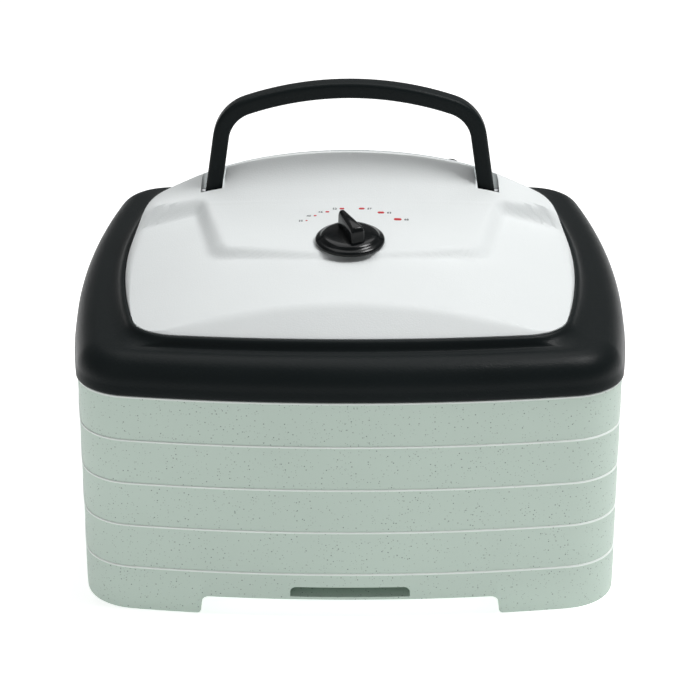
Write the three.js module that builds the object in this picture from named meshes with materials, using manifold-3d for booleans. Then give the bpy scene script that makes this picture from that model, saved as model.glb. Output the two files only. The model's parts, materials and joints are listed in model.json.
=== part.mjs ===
// Square food dehydrator with a fan and heater in its lid: base, four stacking trays and a power head
// with a folding carry handle and a thermostat knob. Millimetres, +Z up, the front faces -Y.
// The origin is at the middle of the footprint, on the surface that the feet stand on.
import * as THREE from 'three';
import { mergeVertices } from 'three/addons/utils/BufferGeometryUtils.js';
import Module from 'manifold-3d';

const wasm = await Module();
wasm.setup();

// Driving dimensions
const GAP = 0.3; // clearance between pieces that touch
const PLAN = { halfX: 172.5, halfY: 172.5, bow: 852, bowSide: 852, corner: 36, shiftY: 0 };
const COVER_PLAN = { halfX: 142.5, halfY: 144.25, bow: 860, bowSide: 520, corner: 30, shiftY: -1.75 };
const WALL = 2.6; // wall of the base and the trays
const FOOT_HEIGHT = 12.1;
const FOOT_DEPTH = 14; // from the outside face inwards
const FOOT_SPAN = 90; // the skirt is cut away between the feet up to here, each way
const BASE_TOP = 29.6;
const BASE_FLOOR = 2.9; // thickness
const GRIP_HALF = 36; // half width of the grip slot in the front of the base
const TRAY_COUNT = 4;
const TRAY_PITCH = 28;
const SPIGOT = 3; // how far a tray's spigot reaches into the piece below
const TRAY_FLOOR = 3.5; // height of the lattice above the tray's lower edge
const TRAY_BED_INSET = 13; // air channel between the outer wall and the bed's own wall
const COLLAR_RADIUS = 31;
const SLAT_PITCH = 32;
const STACK_TOP = BASE_TOP + TRAY_COUNT * TRAY_PITCH;
const BAND_BOTTOM = STACK_TOP + 0.4;
const BAND_FLARE = 1; // the band's lower edge stands out past the trays
const ROLL_RADIUS = 16; // rounded shoulder of the band
const ROLL_HEIGHT = 148.5; // where the shoulder starts
const COVER_EDGE = 171; // height of the cover's lower outer edge
const COVER_LEDGE = 166.2; // the band's inner ledge, which the cover stands on
const COVER_WALL = 3;
const FRONT_SLOPE = 1.03; // rise of the cover's front facet
const SIDE_SLOPE = 2.56;
const PANEL_SLOPE = 0.14;
const CREST_Y = 30;
const CREST_Z = 228.6;
const REAR_FALL = 0.3;
const HANDLE_PIVOT = { y: 24, z: 203 };
const HANDLE_HALF = 88.7; // from the middle to each leg at its pivot
const HANDLE_RISE = 70.2; // pivot to the middle of the bar
const HANDLE_THICK = 10.4;
const HANDLE_DEPTH = 14;
const PIN_RADIUS = 3;
const KNOB_Y = -60;
const KNOB_RADIUS = 21.4;
const FAN_RADIUS = 56;
const FAN_Z = 150;
const FLOOR_Z = 145; // underside of the power head's floor
const SHAFT_RADIUS = 3;
const MOTOR_Z = 172; // underside of the laminations
const LAMINATION = { x: 68, z: 18 };

// Finishes
const paint = (color, roughness, metalness = 0) => ({ color, roughness, metalness });
const SPECKLED = paint(0xc3d2c8, 0.55);
const WHITE = paint(0xe4eae9, 0.6);
const BLACK = paint(0x16191a, 0.42);
const GLOSS_BLACK = paint(0x0b0c0d, 0.25);
const STEEL = paint(0xa9adb0, 0.35, 1);
const ALUMINIUM = paint(0xc9cccf, 0.3, 1);
const COPPER = paint(0xa55a2a, 0.4, 0.9);
const BRONZE = paint(0x9a7340, 0.4, 1);
const CERAMIC = paint(0xe9e3d4, 0.7);
const NICHROME = paint(0x6f6b66, 0.45, 1);
const BAKELITE = paint(0x2b211a, 0.5);
const LEAD = paint(0xd8d8d2, 0.6);

const model = new THREE.Group();

// ---- geometry helpers ----

function solid(geometry) {
  const bare = geometry.clone();
  bare.deleteAttribute('normal');
  bare.deleteAttribute('uv');
  const merged = mergeVertices(bare, 1e-4);
  const index = Array.from(merged.index.array);
  const kept = [];
  for (let i = 0; i < index.length; i += 3) {
    const [a, b, c] = index.slice(i, i + 3);
    if (a !== b && b !== c && a !== c) kept.push(a, b, c);
  }
  const mesh = new wasm.Mesh({
    numProp: 3,
    vertProperties: new Float32Array(merged.attributes.position.array),
    triVerts: new Uint32Array(kept),
  });
  return new wasm.Manifold(mesh);
}

function toGeometry(body) {
  const mesh = body.getMesh();
  const geometry = new THREE.BufferGeometry();
  geometry.setAttribute('position', new THREE.BufferAttribute(mesh.vertProperties, 3));
  geometry.setIndex(new THREE.BufferAttribute(mesh.triVerts, 1));
  geometry.computeVertexNormals();
  return geometry;
}

const joined = (bodies) => bodies.reduce((all, body) => all.add(body));

function add(name, body, finish) {
  const material = new THREE.MeshStandardMaterial(finish);
  const mesh = new THREE.Mesh(body.isBufferGeometry ? body : toGeometry(body), material);
  mesh.name = name;
  model.add(mesh);
  return mesh;
}

function place(geometry, { x = 0, y = 0, z = 0, rx = 0, ry = 0, rz = 0 } = {}) {
  const turn = new THREE.Quaternion().setFromEuler(new THREE.Euler(rx, ry, rz));
  const matrix = new THREE.Matrix4().compose(new THREE.Vector3(x, y, z), turn, new THREE.Vector3(1, 1, 1));
  return geometry.applyMatrix4(matrix);
}

// A box from its lowest to its highest corner
function block(x0, x1, y0, y1, z0, z1) {
  const geometry = new THREE.BoxGeometry(x1 - x0, y1 - y0, z1 - z0);
  return solid(place(geometry, { x: (x0 + x1) / 2, y: (y0 + y1) / 2, z: (z0 + z1) / 2 }));
}

// An upright cylinder between two heights
function drum(radius, z0, z1, { x = 0, y = 0, sides = 24, top = radius } = {}) {
  const geometry = new THREE.CylinderGeometry(top, radius, z1 - z0, sides);
  return solid(place(geometry, { x, y, z: (z0 + z1) / 2, rx: Math.PI / 2 }));
}

// A turned piece: closed profile of [radius, height] pairs round the upright axis
function turned(profile, sides = 32) {
  const points = profile.map(([r, z]) => new THREE.Vector2(r, z));
  return outward(new THREE.LatheGeometry(points, sides).rotateX(Math.PI / 2));
}

// A solid whose faces point outwards whichever way its profile ran
function outward(geometry) {
  const body = solid(geometry);
  if (body.volume() > 0) return body;
  const flipped = geometry.index ? geometry.toNonIndexed() : geometry.clone();
  const p = flipped.attributes.position;
  for (let i = 0; i < p.count; i += 3) {
    const second = new THREE.Vector3().fromBufferAttribute(p, i + 1);
    const third = new THREE.Vector3().fromBufferAttribute(p, i + 2);
    p.setXYZ(i + 1, third.x, third.y, third.z);
    p.setXYZ(i + 2, second.x, second.y, second.z);
  }
  return solid(flipped);
}

// A bowed square in plan, inset from its outside: four shallow arcs joined by corner arcs
function outline(plan, inset = 0, sideSteps = 4, cornerSteps = 3) {
  const bow = plan.bow - inset;
  const bowSide = plan.bowSide - inset;
  const corner = plan.corner - inset;
  const round = Math.max(corner, 2);
  const by = plan.halfY - plan.bow; // centre of the arc across the back; mirrored for the front
  const ax = plan.halfX - plan.bowSide;
  const far = Math.hypot(ax, by);
  const ra = bowSide - round;
  const rb = bow - round;
  const along = (ra * ra - rb * rb + far * far) / (2 * far);
  const off = Math.sqrt(ra * ra - along * along);
  const ux = -ax / far;
  const uy = by / far;
  const cx = ax + ux * along + uy * -off;
  const cy = uy * along + ux * off;
  const start = Math.atan2(cy, cx - ax); // where the side arc meets the corner
  const end = Math.atan2(cy - by, cx); // where the corner meets the back arc
  const points = [];
  for (let i = 0; i < sideSteps; i++) {
    const a = -start + (2 * start * i) / sideSteps;
    points.push([ax + bowSide * Math.cos(a), bowSide * Math.sin(a)]);
  }
  for (let i = 0; i < cornerSteps; i++) {
    const a = start + ((end - start) * i) / cornerSteps;
    points.push([cx + round * Math.cos(a), cy + round * Math.sin(a)]);
  }
  for (let i = 0; i < sideSteps; i++) {
    const a = end + ((Math.PI - 2 * end) * i) / sideSteps;
    points.push([bow * Math.cos(a), by + bow * Math.sin(a)]);
  }
  for (let i = 0; i < cornerSteps; i++) {
    const a = Math.PI - end + ((end - start) * i) / cornerSteps;
    points.push([-cx + round * Math.cos(a), cy + round * Math.sin(a)]);
  }
  const otherHalf = points.map(([x, y]) => [-x, -y]);
  return [...points, ...otherHalf].map(([x, y]) => [x, y + plan.shiftY]);
}

// Stitches loops of equal length; the last joins the first, or both ends are capped
function skin(loops, ring) {
  const count = loops[0].length;
  const vertices = loops.flat();
  const faces = [];
  const rows = ring ? loops.length : loops.length - 1;
  for (let j = 0; j < rows; j++) {
    const here = j * count;
    const next = ((j + 1) % loops.length) * count;
    for (let i = 0; i < count; i++) {
      const k = (i + 1) % count;
      faces.push(here + i, here + k, next + k, here + i, next + k, next + i);
    }
  }
  if (!ring) {
    for (const [row, flip] of [[0, true], [loops.length - 1, false]]) {
      const loop = loops[row];
      const middle = [0, 1, 2].map((axis) => loop.reduce((sum, p) => sum + p[axis], 0) / count);
      vertices.push(middle);
      for (let i = 0; i < count; i++) {
        const a = row * count + i;
        const b = row * count + ((i + 1) % count);
        faces.push(...(flip ? [b, a, vertices.length - 1] : [a, b, vertices.length - 1]));
      }
    }
  }
  const geometry = new THREE.BufferGeometry();
  geometry.setAttribute('position', new THREE.Float32BufferAttribute(vertices.flat(), 3));
  geometry.setIndex(faces);
  return outward(geometry);
}

const level = (plan, inset, z) => outline(plan, inset).map(([x, y]) => [x, y, z]);
const ringOf = (plan, profile) => skin(profile.map(([inset, z]) => level(plan, inset, z)), true);
const prism = (plan, inset, z0, z1) => skin([level(plan, inset, z0), level(plan, inset, z1)], false);

// A flat outline in the YZ plane, swept along X
function sweptAcross(points, x0, x1) {
  const shape = new THREE.Shape(points.map(([y, z]) => new THREE.Vector2(y, z)));
  const geometry = new THREE.ExtrudeGeometry(shape, { depth: x1 - x0, bevelEnabled: false });
  geometry.rotateX(Math.PI / 2).rotateZ(Math.PI / 2);
  return outward(geometry.translate(x0, 0, 0));
}

// ---- base ----

function base() {
  const bounds = 2 * PLAN.halfX;
  let body = prism(PLAN, 0, 0, BASE_TOP);
  body = body.subtract(prism(PLAN, WALL, FOOT_HEIGHT + BASE_FLOOR, BASE_TOP + 1));
  body = body.subtract(block(-FOOT_SPAN, FOOT_SPAN, -bounds, bounds, -1, FOOT_HEIGHT));
  body = body.subtract(block(-bounds, bounds, -FOOT_SPAN, FOOT_SPAN, -1, FOOT_HEIGHT));
  body = body.subtract(prism(PLAN, FOOT_DEPTH, -1, FOOT_HEIGHT));
  const front = -PLAN.halfY;
  const housing = block(-GRIP_HALF - 4, GRIP_HALF + 4, front - 1, front + 17, FOOT_HEIGHT, 25);
  const scoop = [[front - 3, 13.8], [front + 14.5, 16.5], [front + 14.5, 22.5], [front - 3, 20.2]];
  body = body.add(housing.intersect(prism(PLAN, 0, FOOT_HEIGHT, 26)));
  return body.subtract(sweptAcross(scoop, -GRIP_HALF, GRIP_HALF));
}
add('base', base(), SPECKLED);

// ---- trays ----

function tray(z0) {
  const lip = WALL + GAP;
  const wall = ringOf(PLAN, [
    [0, z0 + 0.2], [0, z0 + TRAY_PITCH - 0.1], [WALL, z0 + TRAY_PITCH - 0.1], [WALL, z0 + 7],
    [lip + 2, z0 + 5], [lip + 2, z0 - SPIGOT], [lip, z0 - SPIGOT], [lip, z0 + 0.2],
  ]);
  const floor = z0 + TRAY_FLOOR;
  const bedWall = ringOf(PLAN, [
    [TRAY_BED_INSET, floor], [TRAY_BED_INSET, z0 + 17], [TRAY_BED_INSET + 2, z0 + 17],
    [TRAY_BED_INSET + 2, floor],
  ]);
  const reach = PLAN.halfX;
  const bars = [];
  for (let x = -4 * SLAT_PITCH; x <= 4 * SLAT_PITCH; x += SLAT_PITCH) {
    bars.push(block(x - 1.5, x + 1.5, -reach, reach, floor, floor + 2.5));
  }
  bars.push(block(-reach, reach, -1.5, 1.5, floor, floor + 2.5));
  const bed = joined(bars).intersect(prism(PLAN, TRAY_BED_INSET + 1, floor, floor + 2.5));
  const collar = drum(COLLAR_RADIUS + 2, floor, z0 + 20, { sides: 16 });
  const ribs = [];
  for (const along of [-80, 80]) {
    for (const side of [-1, 1]) {
      const near = side * (reach - TRAY_BED_INSET - 6);
      const far = side * (reach - 1);
      const [low, high] = [Math.min(near, far), Math.max(near, far)];
      ribs.push(block(low, high, along - 1, along + 1, floor, z0 + 10));
      ribs.push(block(along - 1, along + 1, low, high, floor, z0 + 10));
    }
  }
  const channel = joined(ribs).intersect(prism(PLAN, 1, floor, z0 + 10));
  const body = joined([wall, bedWall, bed, collar, channel]);
  return body.subtract(drum(COLLAR_RADIUS, z0 - 5, z0 + 30, { sides: 16 }));
}
for (let i = 0; i < TRAY_COUNT; i++) {
  add(`tray_${TRAY_COUNT - i}`, tray(BASE_TOP + i * TRAY_PITCH), SPECKLED);
}

// ---- power head: band, cover and floor ----

const BOSS_SPOTS = [[-1, -1], [1, -1], [1, 1], [-1, 1]].map(([x, y]) => [x * 131, y * 131]);
const COVER_SCREWS = [[-131, 16], [131, 16], [0, -134], [0, 131]];

function housingBand() {
  const outer = [];
  for (let i = 0; i <= 4; i++) {
    const a = (i * Math.PI) / 8;
    outer.push([ROLL_RADIUS * (1 - Math.cos(a)), ROLL_HEIGHT + ROLL_RADIUS * Math.sin(a)]);
  }
  const inner = [[25, 163.7], [18, 161.4], [8, 156], [WALL + 0.4, ROLL_HEIGHT], [WALL + 0.4, BAND_BOTTOM]];
  const bezel = COVER_PLAN;
  const loops = [
    level(PLAN, -BAND_FLARE, BAND_BOTTOM),
    ...outer.map(([inset, z]) => level(PLAN, inset, z)),
    level(PLAN, 22, 165.2),
    level(bezel, -3.2, COVER_EDGE - 1.2),
    level(bezel, -0.4, COVER_EDGE),
    level(bezel, -0.4, COVER_LEDGE),
    level(bezel, 16, COVER_LEDGE),
    level(bezel, 16, COVER_LEDGE - 2.5),
    ...inner.map(([inset, z]) => level(PLAN, inset, z)),
  ];
  let body = skin(loops, true);
  for (const [x, y] of BOSS_SPOTS) body = body.add(drum(5, FLOOR_Z + 2.8, 164.5, { x, y, sides: 14 }));
  for (const [x, y] of BOSS_SPOTS) body = body.subtract(drum(2.3, 140, 161, { x, y, sides: 10 }));
  for (const [x, y] of COVER_SCREWS) body = body.subtract(drum(2.3, 160, 168, { x, y, sides: 10 }));
  return body;
}
add('housing_band', housingBand(), BLACK);

// Heights of the cover's top. The front is a shallow vault, cut off by the front facet. A tier with
// the control panel stands on it, and sweeps up behind the panel to a crest that falls to the rear.
const vaultHeight = (x, y) => 187.5 + PANEL_SLOPE * (y + 130) - 0.00113 * x * x;
const panelHeight = (x, y) => 198.2 + PANEL_SLOPE * (y + 73.5) - 0.0006 * x * x;
const creaseY = (x) => -6 + 0.00078 * x * x;
const crestHeight = (x) => CREST_Z - 0.00135 * x * x - 3e-8 * x ** 4;

function tierHeight(x, y) {
  const crease = creaseY(x);
  if (y <= crease) return panelHeight(x, y);
  if (y >= CREST_Y) return crestHeight(x) - REAR_FALL * (y - CREST_Y);
  const t = (y - crease) / (CREST_Y - crease);
  const foot = panelHeight(x, crease);
  return foot + (crestHeight(x) - foot) * (0.46 * t + 0.54 * t * t);
}

// A solid under a height function, on columns across and lines that may bend from column to column
function under(height, linesAt, bottom, drop) {
  const columns = [];
  for (let i = 0; i <= 10; i++) columns.push(-155 + 31 * i);
  const loops = columns.map((x) => {
    const top = linesAt(x).map((y) => [x, y, Math.max(height(x, y) - drop, bottom + 1)]);
    const low = top.map(([, y]) => [x, y, bottom]).reverse();
    return [...top, ...low];
  });
  const count = loops[0].length;
  const half = count / 2;
  const faces = [];
  for (let j = 0; j < loops.length - 1; j++) {
    for (let i = 0; i < count; i++) {
      const k = (i + 1) % count;
      const here = j * count;
      const next = here + count;
      faces.push(here + i, here + k, next + k, here + i, next + k, next + i);
    }
  }
  for (const [row, flip] of [[0, false], [loops.length - 1, true]]) {
    for (let i = 0; i < half - 1; i++) {
      const a = row * count + i;
      const b = a + 1;
      const c = row * count + (count - 2 - i);
      const d = c + 1;
      faces.push(...(flip ? [a, b, c, a, c, d] : [b, a, c, c, a, d]));
    }
  }
  const geometry = new THREE.BufferGeometry();
  geometry.setAttribute('position', new THREE.Float32BufferAttribute(loops.flat(2), 3));
  geometry.setIndex(faces);
  return outward(geometry);
}

// The tier in plan: everything behind the side steps, and the panel's tongue in front of them
function tierPlan(grow, bottom, top) {
  const g = grow;
  const shape = new THREE.Shape();
  shape.moveTo(-160, 5 - g);
  shape.lineTo(-101, 5 - g);
  shape.quadraticCurveTo(-95 - g, 4 - g, -94 - g, -4 - g);
  shape.lineTo(-84 - g, -50 - g);
  shape.quadraticCurveTo(-82 - g, -61 - g, -70, -63.5 - g);
  shape.quadraticCurveTo(0, -87 - g, 70, -63.5 - g);
  shape.quadraticCurveTo(82 + g, -61 - g, 84 + g, -50 - g);
  shape.lineTo(94 + g, -4 - g);
  shape.quadraticCurveTo(95 + g, 4 - g, 101, 5 - g);
  shape.lineTo(160, 5 - g);
  shape.lineTo(160, 160);
  shape.lineTo(-160, 160);
  const settings = { depth: top - bottom, bevelEnabled: false, curveSegments: 5 };
  return outward(new THREE.ExtrudeGeometry(shape, settings).translate(0, 0, bottom));
}

// The cover's sides: bowed square that steps in as it rises, less steeply at the front
function coverSides(inset, bottom) {
  const rows = [[0, bottom], [0, COVER_EDGE]];
  for (const rise of [14, 30, 70]) rows.push([rise, COVER_EDGE + rise]);
  const loops = rows.map(([rise, z]) => {
    const loop = outline(COVER_PLAN, inset + rise / SIDE_SLOPE);
    const front = -COVER_PLAN.halfY + COVER_PLAN.shiftY + inset + rise / FRONT_SLOPE;
    const straight = -COVER_PLAN.halfY + COVER_PLAN.shiftY + inset + rise / SIDE_SLOPE;
    return loop.map(([x, y]) => {
      const share = THREE.MathUtils.clamp((20 - y) / (20 - straight), 0, 1);
      return [x, y + share * (front - straight), z];
    });
  });
  return skin(loops, false);
}

function coverBody(inset, drop, bottom) {
  const vaultLines = () => [-155, -60, 40];
  const tierLines = (x) => {
    const crease = creaseY(x);
    const swoop = [0.4, 0.75].map((t) => crease + (CREST_Y - crease) * t);
    return [-95, crease, ...swoop, CREST_Y, 155];
  };
  const vault = under(vaultHeight, vaultLines, bottom, drop);
  const tier = under(tierHeight, tierLines, bottom, drop);
  return vault.add(tier.intersect(tierPlan(-drop, bottom, 240))).intersect(coverSides(inset, bottom));
}

// Middle line of the handle above its pivots, from the left leg over the bar to the right leg
function handleLine(barSteps = 6, bendSteps = 4) {
  const barRadius = 206;
  const bend = THREE.MathUtils.degToRad(18.6); // half the bar's arc
  const lean = THREE.MathUtils.degToRad(82.1); // leg's slope
  const bendRadius = 25.5;
  const right = [];
  for (let i = 0; i <= barSteps / 2; i++) {
    const a = (bend * 2 * i) / barSteps;
    right.push([barRadius * Math.sin(a), HANDLE_RISE - barRadius * (1 - Math.cos(a))]);
  }
  const [ex, ez] = right[right.length - 1];
  const cx = ex - bendRadius * Math.sin(bend);
  const cz = ez - bendRadius * Math.cos(bend);
  for (let i = 1; i <= bendSteps; i++) {
    const a = bend + ((lean - bend) * i) / bendSteps;
    right.push([cx + bendRadius * Math.sin(a), cz + bendRadius * Math.cos(a)]);
  }
  right.push([HANDLE_HALF, 0]);
  const left = right.slice(1).map(([x, z]) => [-x, z]).reverse();
  return [...left, ...right];
}

// The handle's flat shape, grown by a clearance, as a closed outline round its middle line
function handleShape(grow) {
  const line = handleLine();
  const half = HANDLE_THICK / 2 + grow;
  const outer = [];
  const inner = [];
  line.forEach(([x, z], i) => {
    const before = line[Math.max(i - 1, 0)];
    const after = line[Math.min(i + 1, line.length - 1)];
    const length = Math.hypot(after[0] - before[0], after[1] - before[1]);
    const nx = -(after[1] - before[1]) / length;
    const nz = (after[0] - before[0]) / length;
    outer.push(new THREE.Vector2(x + nx * half, z + nz * half));
    inner.push(new THREE.Vector2(x - nx * half, z - nz * half));
  });
  const tail = HANDLE_DEPTH / 2 + grow;
  const leftEnd = [new THREE.Vector2(-HANDLE_HALF + half, -tail), new THREE.Vector2(-HANDLE_HALF - half, -tail)];
  const rightEnd = [new THREE.Vector2(HANDLE_HALF + half, -tail), new THREE.Vector2(HANDLE_HALF - half, -tail)];
  return new THREE.Shape([...outer, ...rightEnd, ...inner.reverse(), ...leftEnd]);
}

// The well that the folded handle lies in, straight down from above
function handleWell(grow, bottom) {
  const settings = { depth: 250 - bottom, bevelEnabled: false };
  const geometry = new THREE.ExtrudeGeometry(handleShape(WELL_GAP + grow), settings);
  return outward(geometry.translate(0, HANDLE_PIVOT.y, bottom));
}

const WELL_FLOOR = HANDLE_PIVOT.z - HANDLE_DEPTH / 2 - 1.2;
const WELL_WALL = 2.2;
const WELL_GAP = 2.4; // round the folded handle
const NOTCH_RADIUS = 16;
const INTAKE_PAIRS = 5; // upright slots each side of the middle of the rear face
const INTAKE_PITCH = 9;

function topCover() {
  const outer = coverBody(0, 0, COVER_LEDGE + GAP);
  let inside = coverBody(COVER_WALL, COVER_WALL, COVER_LEDGE - 2);
  inside = inside.subtract(handleWell(WELL_WALL, WELL_FLOOR - WELL_WALL)).subtract(fingerNotch(WELL_WALL));
  const posts = [];
  for (const [x, y] of COVER_SCREWS) posts.push(drum(4.5, COVER_LEDGE - 2, 240, { x, y, sides: 12 }));
  inside = inside.subtract(joined(posts));
  let body = outer.subtract(inside).subtract(handleWell(0, WELL_FLOOR));
  for (const side of [-1, 1]) {
    const hole = new THREE.CylinderGeometry(PIN_RADIUS + GAP, PIN_RADIUS + GAP, 22, 12);
    body = body.subtract(solid(place(hole, { x: side * HANDLE_HALF, ...HANDLE_PIVOT, rz: Math.PI / 2 })));
  }
  body = body.subtract(fingerNotch(0)).subtract(panelBore()).subtract(inletBore());
  const intake = [];
  for (let i = 1; i <= INTAKE_PAIRS; i++) {
    for (const x of [-i * INTAKE_PITCH, i * INTAKE_PITCH]) intake.push(block(x - 1.8, x + 1.8, 120, 160, 176, 190));
  }
  body = body.subtract(joined(intake));
  for (const [x, y] of COVER_SCREWS) body = body.subtract(drum(1.9, COVER_LEDGE, 176, { x, y, sides: 8 }));
  return body;
}

// Scoop across the bar's well, where a finger lifts the folded handle
function fingerNotch(grow) {
  const scoop = new THREE.CylinderGeometry(NOTCH_RADIUS + grow, NOTCH_RADIUS + grow, 26 + 2 * grow, 20);
  return solid(place(scoop, { y: HANDLE_PIVOT.y + HANDLE_RISE, z: HANDLE_PIVOT.z + 11 }));
}

// Pieces on the panel stand along its normal; pieces in the inlet stand along the rear face's normal
const PANEL_SEAT = { y: KNOB_Y, z: panelHeight(0, KNOB_Y), rx: Math.atan(PANEL_SLOPE) };
const INLET_SEAT = { x: 70, y: 136.2, z: 182, rx: -Math.atan(SIDE_SLOPE) };

function seated(name, body, seat, finish) {
  const mesh = add(name, body, finish);
  mesh.position.set(seat.x ?? 0, seat.y, seat.z);
  mesh.rotation.x = seat.rx;
}

function panelBore() {
  const bore = new THREE.CylinderGeometry(5.5, 5.5, 30, 16).rotateX(Math.PI / 2);
  return solid(place(bore, PANEL_SEAT));
}

function inletBore() {
  const bore = new THREE.CylinderGeometry(6, 6, 24, 16).rotateX(Math.PI / 2);
  return solid(place(bore, INLET_SEAT));
}
add('top_cover', topCover(), WHITE);

const FLOOR_TOP = FLOOR_Z + 2.8;
const SCREW_SIDES = 10;

function powerFloor() {
  const inset = WALL + 0.7;
  let body = prism(PLAN, inset, FLOOR_Z, FLOOR_TOP);
  body = body.add(ringOf(PLAN, [
    [inset, FLOOR_Z + 1], [inset, STACK_TOP - SPIGOT], [inset + 2, STACK_TOP - SPIGOT],
    [inset + 2, FLOOR_Z + 1],
  ]));
  const holes = [drum(FAN_RADIUS + 2, 140, 150)];
  for (const start of [-105, -30, 45]) {
    for (const side of [-1, 1]) {
      const near = side * (PLAN.halfX - 14);
      const far = side * (PLAN.halfX - 8);
      const [low, high] = [Math.min(near, far), Math.max(near, far)];
      holes.push(block(low, high, start, start + 60, 140, 150), block(start, start + 60, low, high, 140, 150));
    }
  }
  for (const [x, y] of BOSS_SPOTS) holes.push(drum(2.3, 140, 150, { x, y, sides: SCREW_SIDES }));
  for (const x of BRIDGE_FEET) holes.push(drum(2.3, 140, 150, { x, sides: SCREW_SIDES }));
  for (const [x, y] of around(3, GUARD_SCREW_R, 90)) holes.push(drum(1.9, 140, 150, { x, y, sides: SCREW_SIDES }));
  return body.subtract(joined(holes));
}

// Evenly spaced places on a circle, the first one at a given bearing in degrees
function around(count, radius, first) {
  const spots = [];
  for (let i = 0; i < count; i++) {
    const a = THREE.MathUtils.degToRad(first + (360 * i) / count);
    spots.push([radius * Math.cos(a), radius * Math.sin(a), a]);
  }
  return spots;
}

function screw(headRadius, shankRadius, headBottom, shankBottom, top, spot) {
  const head = drum(headRadius, headBottom, shankBottom + 0.2, { ...spot, sides: 12 });
  return head.add(drum(shankRadius, shankBottom, top, { ...spot, sides: SCREW_SIDES }));
}

// ---- fan guard and heater ----

const GUARD_SCREW_R = 62;
const GUARD_TOP = FLOOR_Z - GAP;
const HEATER_R = 74;
const HEATER_Z = 154;
const BRIDGE_FEET = [-118, 118];

add('power_floor', powerFloor(), BLACK);
BOSS_SPOTS.forEach(([x, y], i) => {
  add(`floor_screw_${i + 1}`, screw(3.8, 2, FLOOR_Z - 2, FLOOR_Z - GAP, 159, { x, y }), STEEL);
});
COVER_SCREWS.forEach(([x, y], i) => {
  const under = COVER_LEDGE - 2.5 - GAP;
  add(`cover_screw_${i + 1}`, screw(3.6, 1.6, under - 1.8, under, 174, { x, y }), STEEL);
});

function fanGuard() {
  const bottom = GUARD_TOP - 2.6;
  const rings = [[59, 66], [34, 37]].map(([inner, outer]) => {
    return drum(outer, bottom, GUARD_TOP).subtract(drum(inner, 130, 150));
  });
  const spokes = [];
  for (const turn of [0, 60, 120]) {
    const bar = new THREE.BoxGeometry(122, 2.6, GUARD_TOP - bottom);
    const seat = { z: (GUARD_TOP + bottom) / 2, rz: THREE.MathUtils.degToRad(turn) };
    spokes.push(solid(place(bar, seat)));
  }
  const body = joined([...rings, ...spokes]).add(drum(12, bottom, GUARD_TOP, { sides: 16 }));
  const holes = around(3, GUARD_SCREW_R, 90).map(([x, y]) => drum(1.9, 130, 150, { x, y, sides: SCREW_SIDES }));
  return body.subtract(joined(holes));
}
add('fan_guard', fanGuard(), BLACK);
around(3, GUARD_SCREW_R, 90).forEach(([x, y], i) => {
  const under = GUARD_TOP - 2.6 - GAP;
  add(`guard_screw_${i + 1}`, screw(3.2, 1.6, under - 1.6, under, 151, { x, y }), STEEL);
});

class Arc extends THREE.Curve {
  constructor(radius, height, from, to) {
    super();
    Object.assign(this, { radius, height, from, to });
  }
  getPoint(t, target = new THREE.Vector3()) {
    const a = this.from + (this.to - this.from) * t;
    return target.set(this.radius * Math.cos(a), this.radius * Math.sin(a), this.height);
  }
}

function rod(curve, radius, steps, sides) {
  const shape = new THREE.Shape();
  for (let i = 0; i < sides; i++) {
    const a = (2 * Math.PI * i) / sides;
    const step = [radius * Math.cos(a), radius * Math.sin(a)];
    if (i === 0) shape.moveTo(...step);
    else shape.lineTo(...step);
  }
  return outward(new THREE.ExtrudeGeometry(shape, { steps, extrudePath: curve, bevelEnabled: false }));
}

const heaterArc = new Arc(HEATER_R, HEATER_Z, -1.2, 4.9);
add('heater_element', rod(heaterArc, 2, 28, 6), NICHROME);
around(3, HEATER_R, 30).forEach(([x, y, a], i) => {
  const height = HEATER_Z + 4 - FLOOR_TOP - GAP;
  const post = new THREE.BoxGeometry(10, 7, height);
  const body = solid(place(post, { x, y, z: FLOOR_TOP + GAP + height / 2, rz: a }));
  add(`heater_support_${i + 1}`, body.subtract(rod(heaterArc, 2 + GAP, 28, 6)), CERAMIC);
});

const SHIELD_TOP = 161.8;
const BRIDGE_BOTTOM = 167.9;
const BRIDGE_TOP = 169.7;
add('heat_shield', turned([
  [16, SHIELD_TOP - 1.2], [97, SHIELD_TOP - 1.2], [97, 153], [98.2, 153], [98.2, SHIELD_TOP], [16, SHIELD_TOP],
  [16, SHIELD_TOP - 1.2],
], 32), ALUMINIUM);
add('thermal_cutout', drum(7, SHIELD_TOP + GAP, 167, { y: -60, sides: 16 }), BAKELITE);
for (const [side, name] of [[-1, 'left'], [1, 'right']]) {
  const seat = { x: side * 60, sides: 12 };
  add(`shield_spacer_${name}`, drum(3.5, SHIELD_TOP + GAP, BRIDGE_BOTTOM - GAP, seat), CERAMIC);
}

// ---- motor and fan ----

function motorBridge() {
  const leg = 111;
  let body = block(-leg - 0.9, leg + 0.9, -22, 22, BRIDGE_BOTTOM, BRIDGE_TOP);
  for (const side of [-1, 1]) {
    const wall = [side * (leg - 0.9), side * (leg + 0.9)].sort((a, b) => a - b);
    const foot = [side * (leg - 0.9), side * (leg + 14)].sort((a, b) => a - b);
    body = body.add(block(...wall, -22, 22, FLOOR_TOP + GAP, BRIDGE_TOP));
    body = body.add(block(...foot, -12, 12, FLOOR_TOP + GAP, FLOOR_TOP + GAP + 1.8));
  }
  const holes = [drum(12, 160, 172, { sides: 16 })];
  for (const x of BRIDGE_FEET) holes.push(drum(2.3, 140, 152, { x, sides: SCREW_SIDES }));
  for (const x of MOTOR_SCREWS) holes.push(drum(2.1, 160, 172, { x, sides: SCREW_SIDES }));
  return body.subtract(joined(holes));
}

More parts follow.
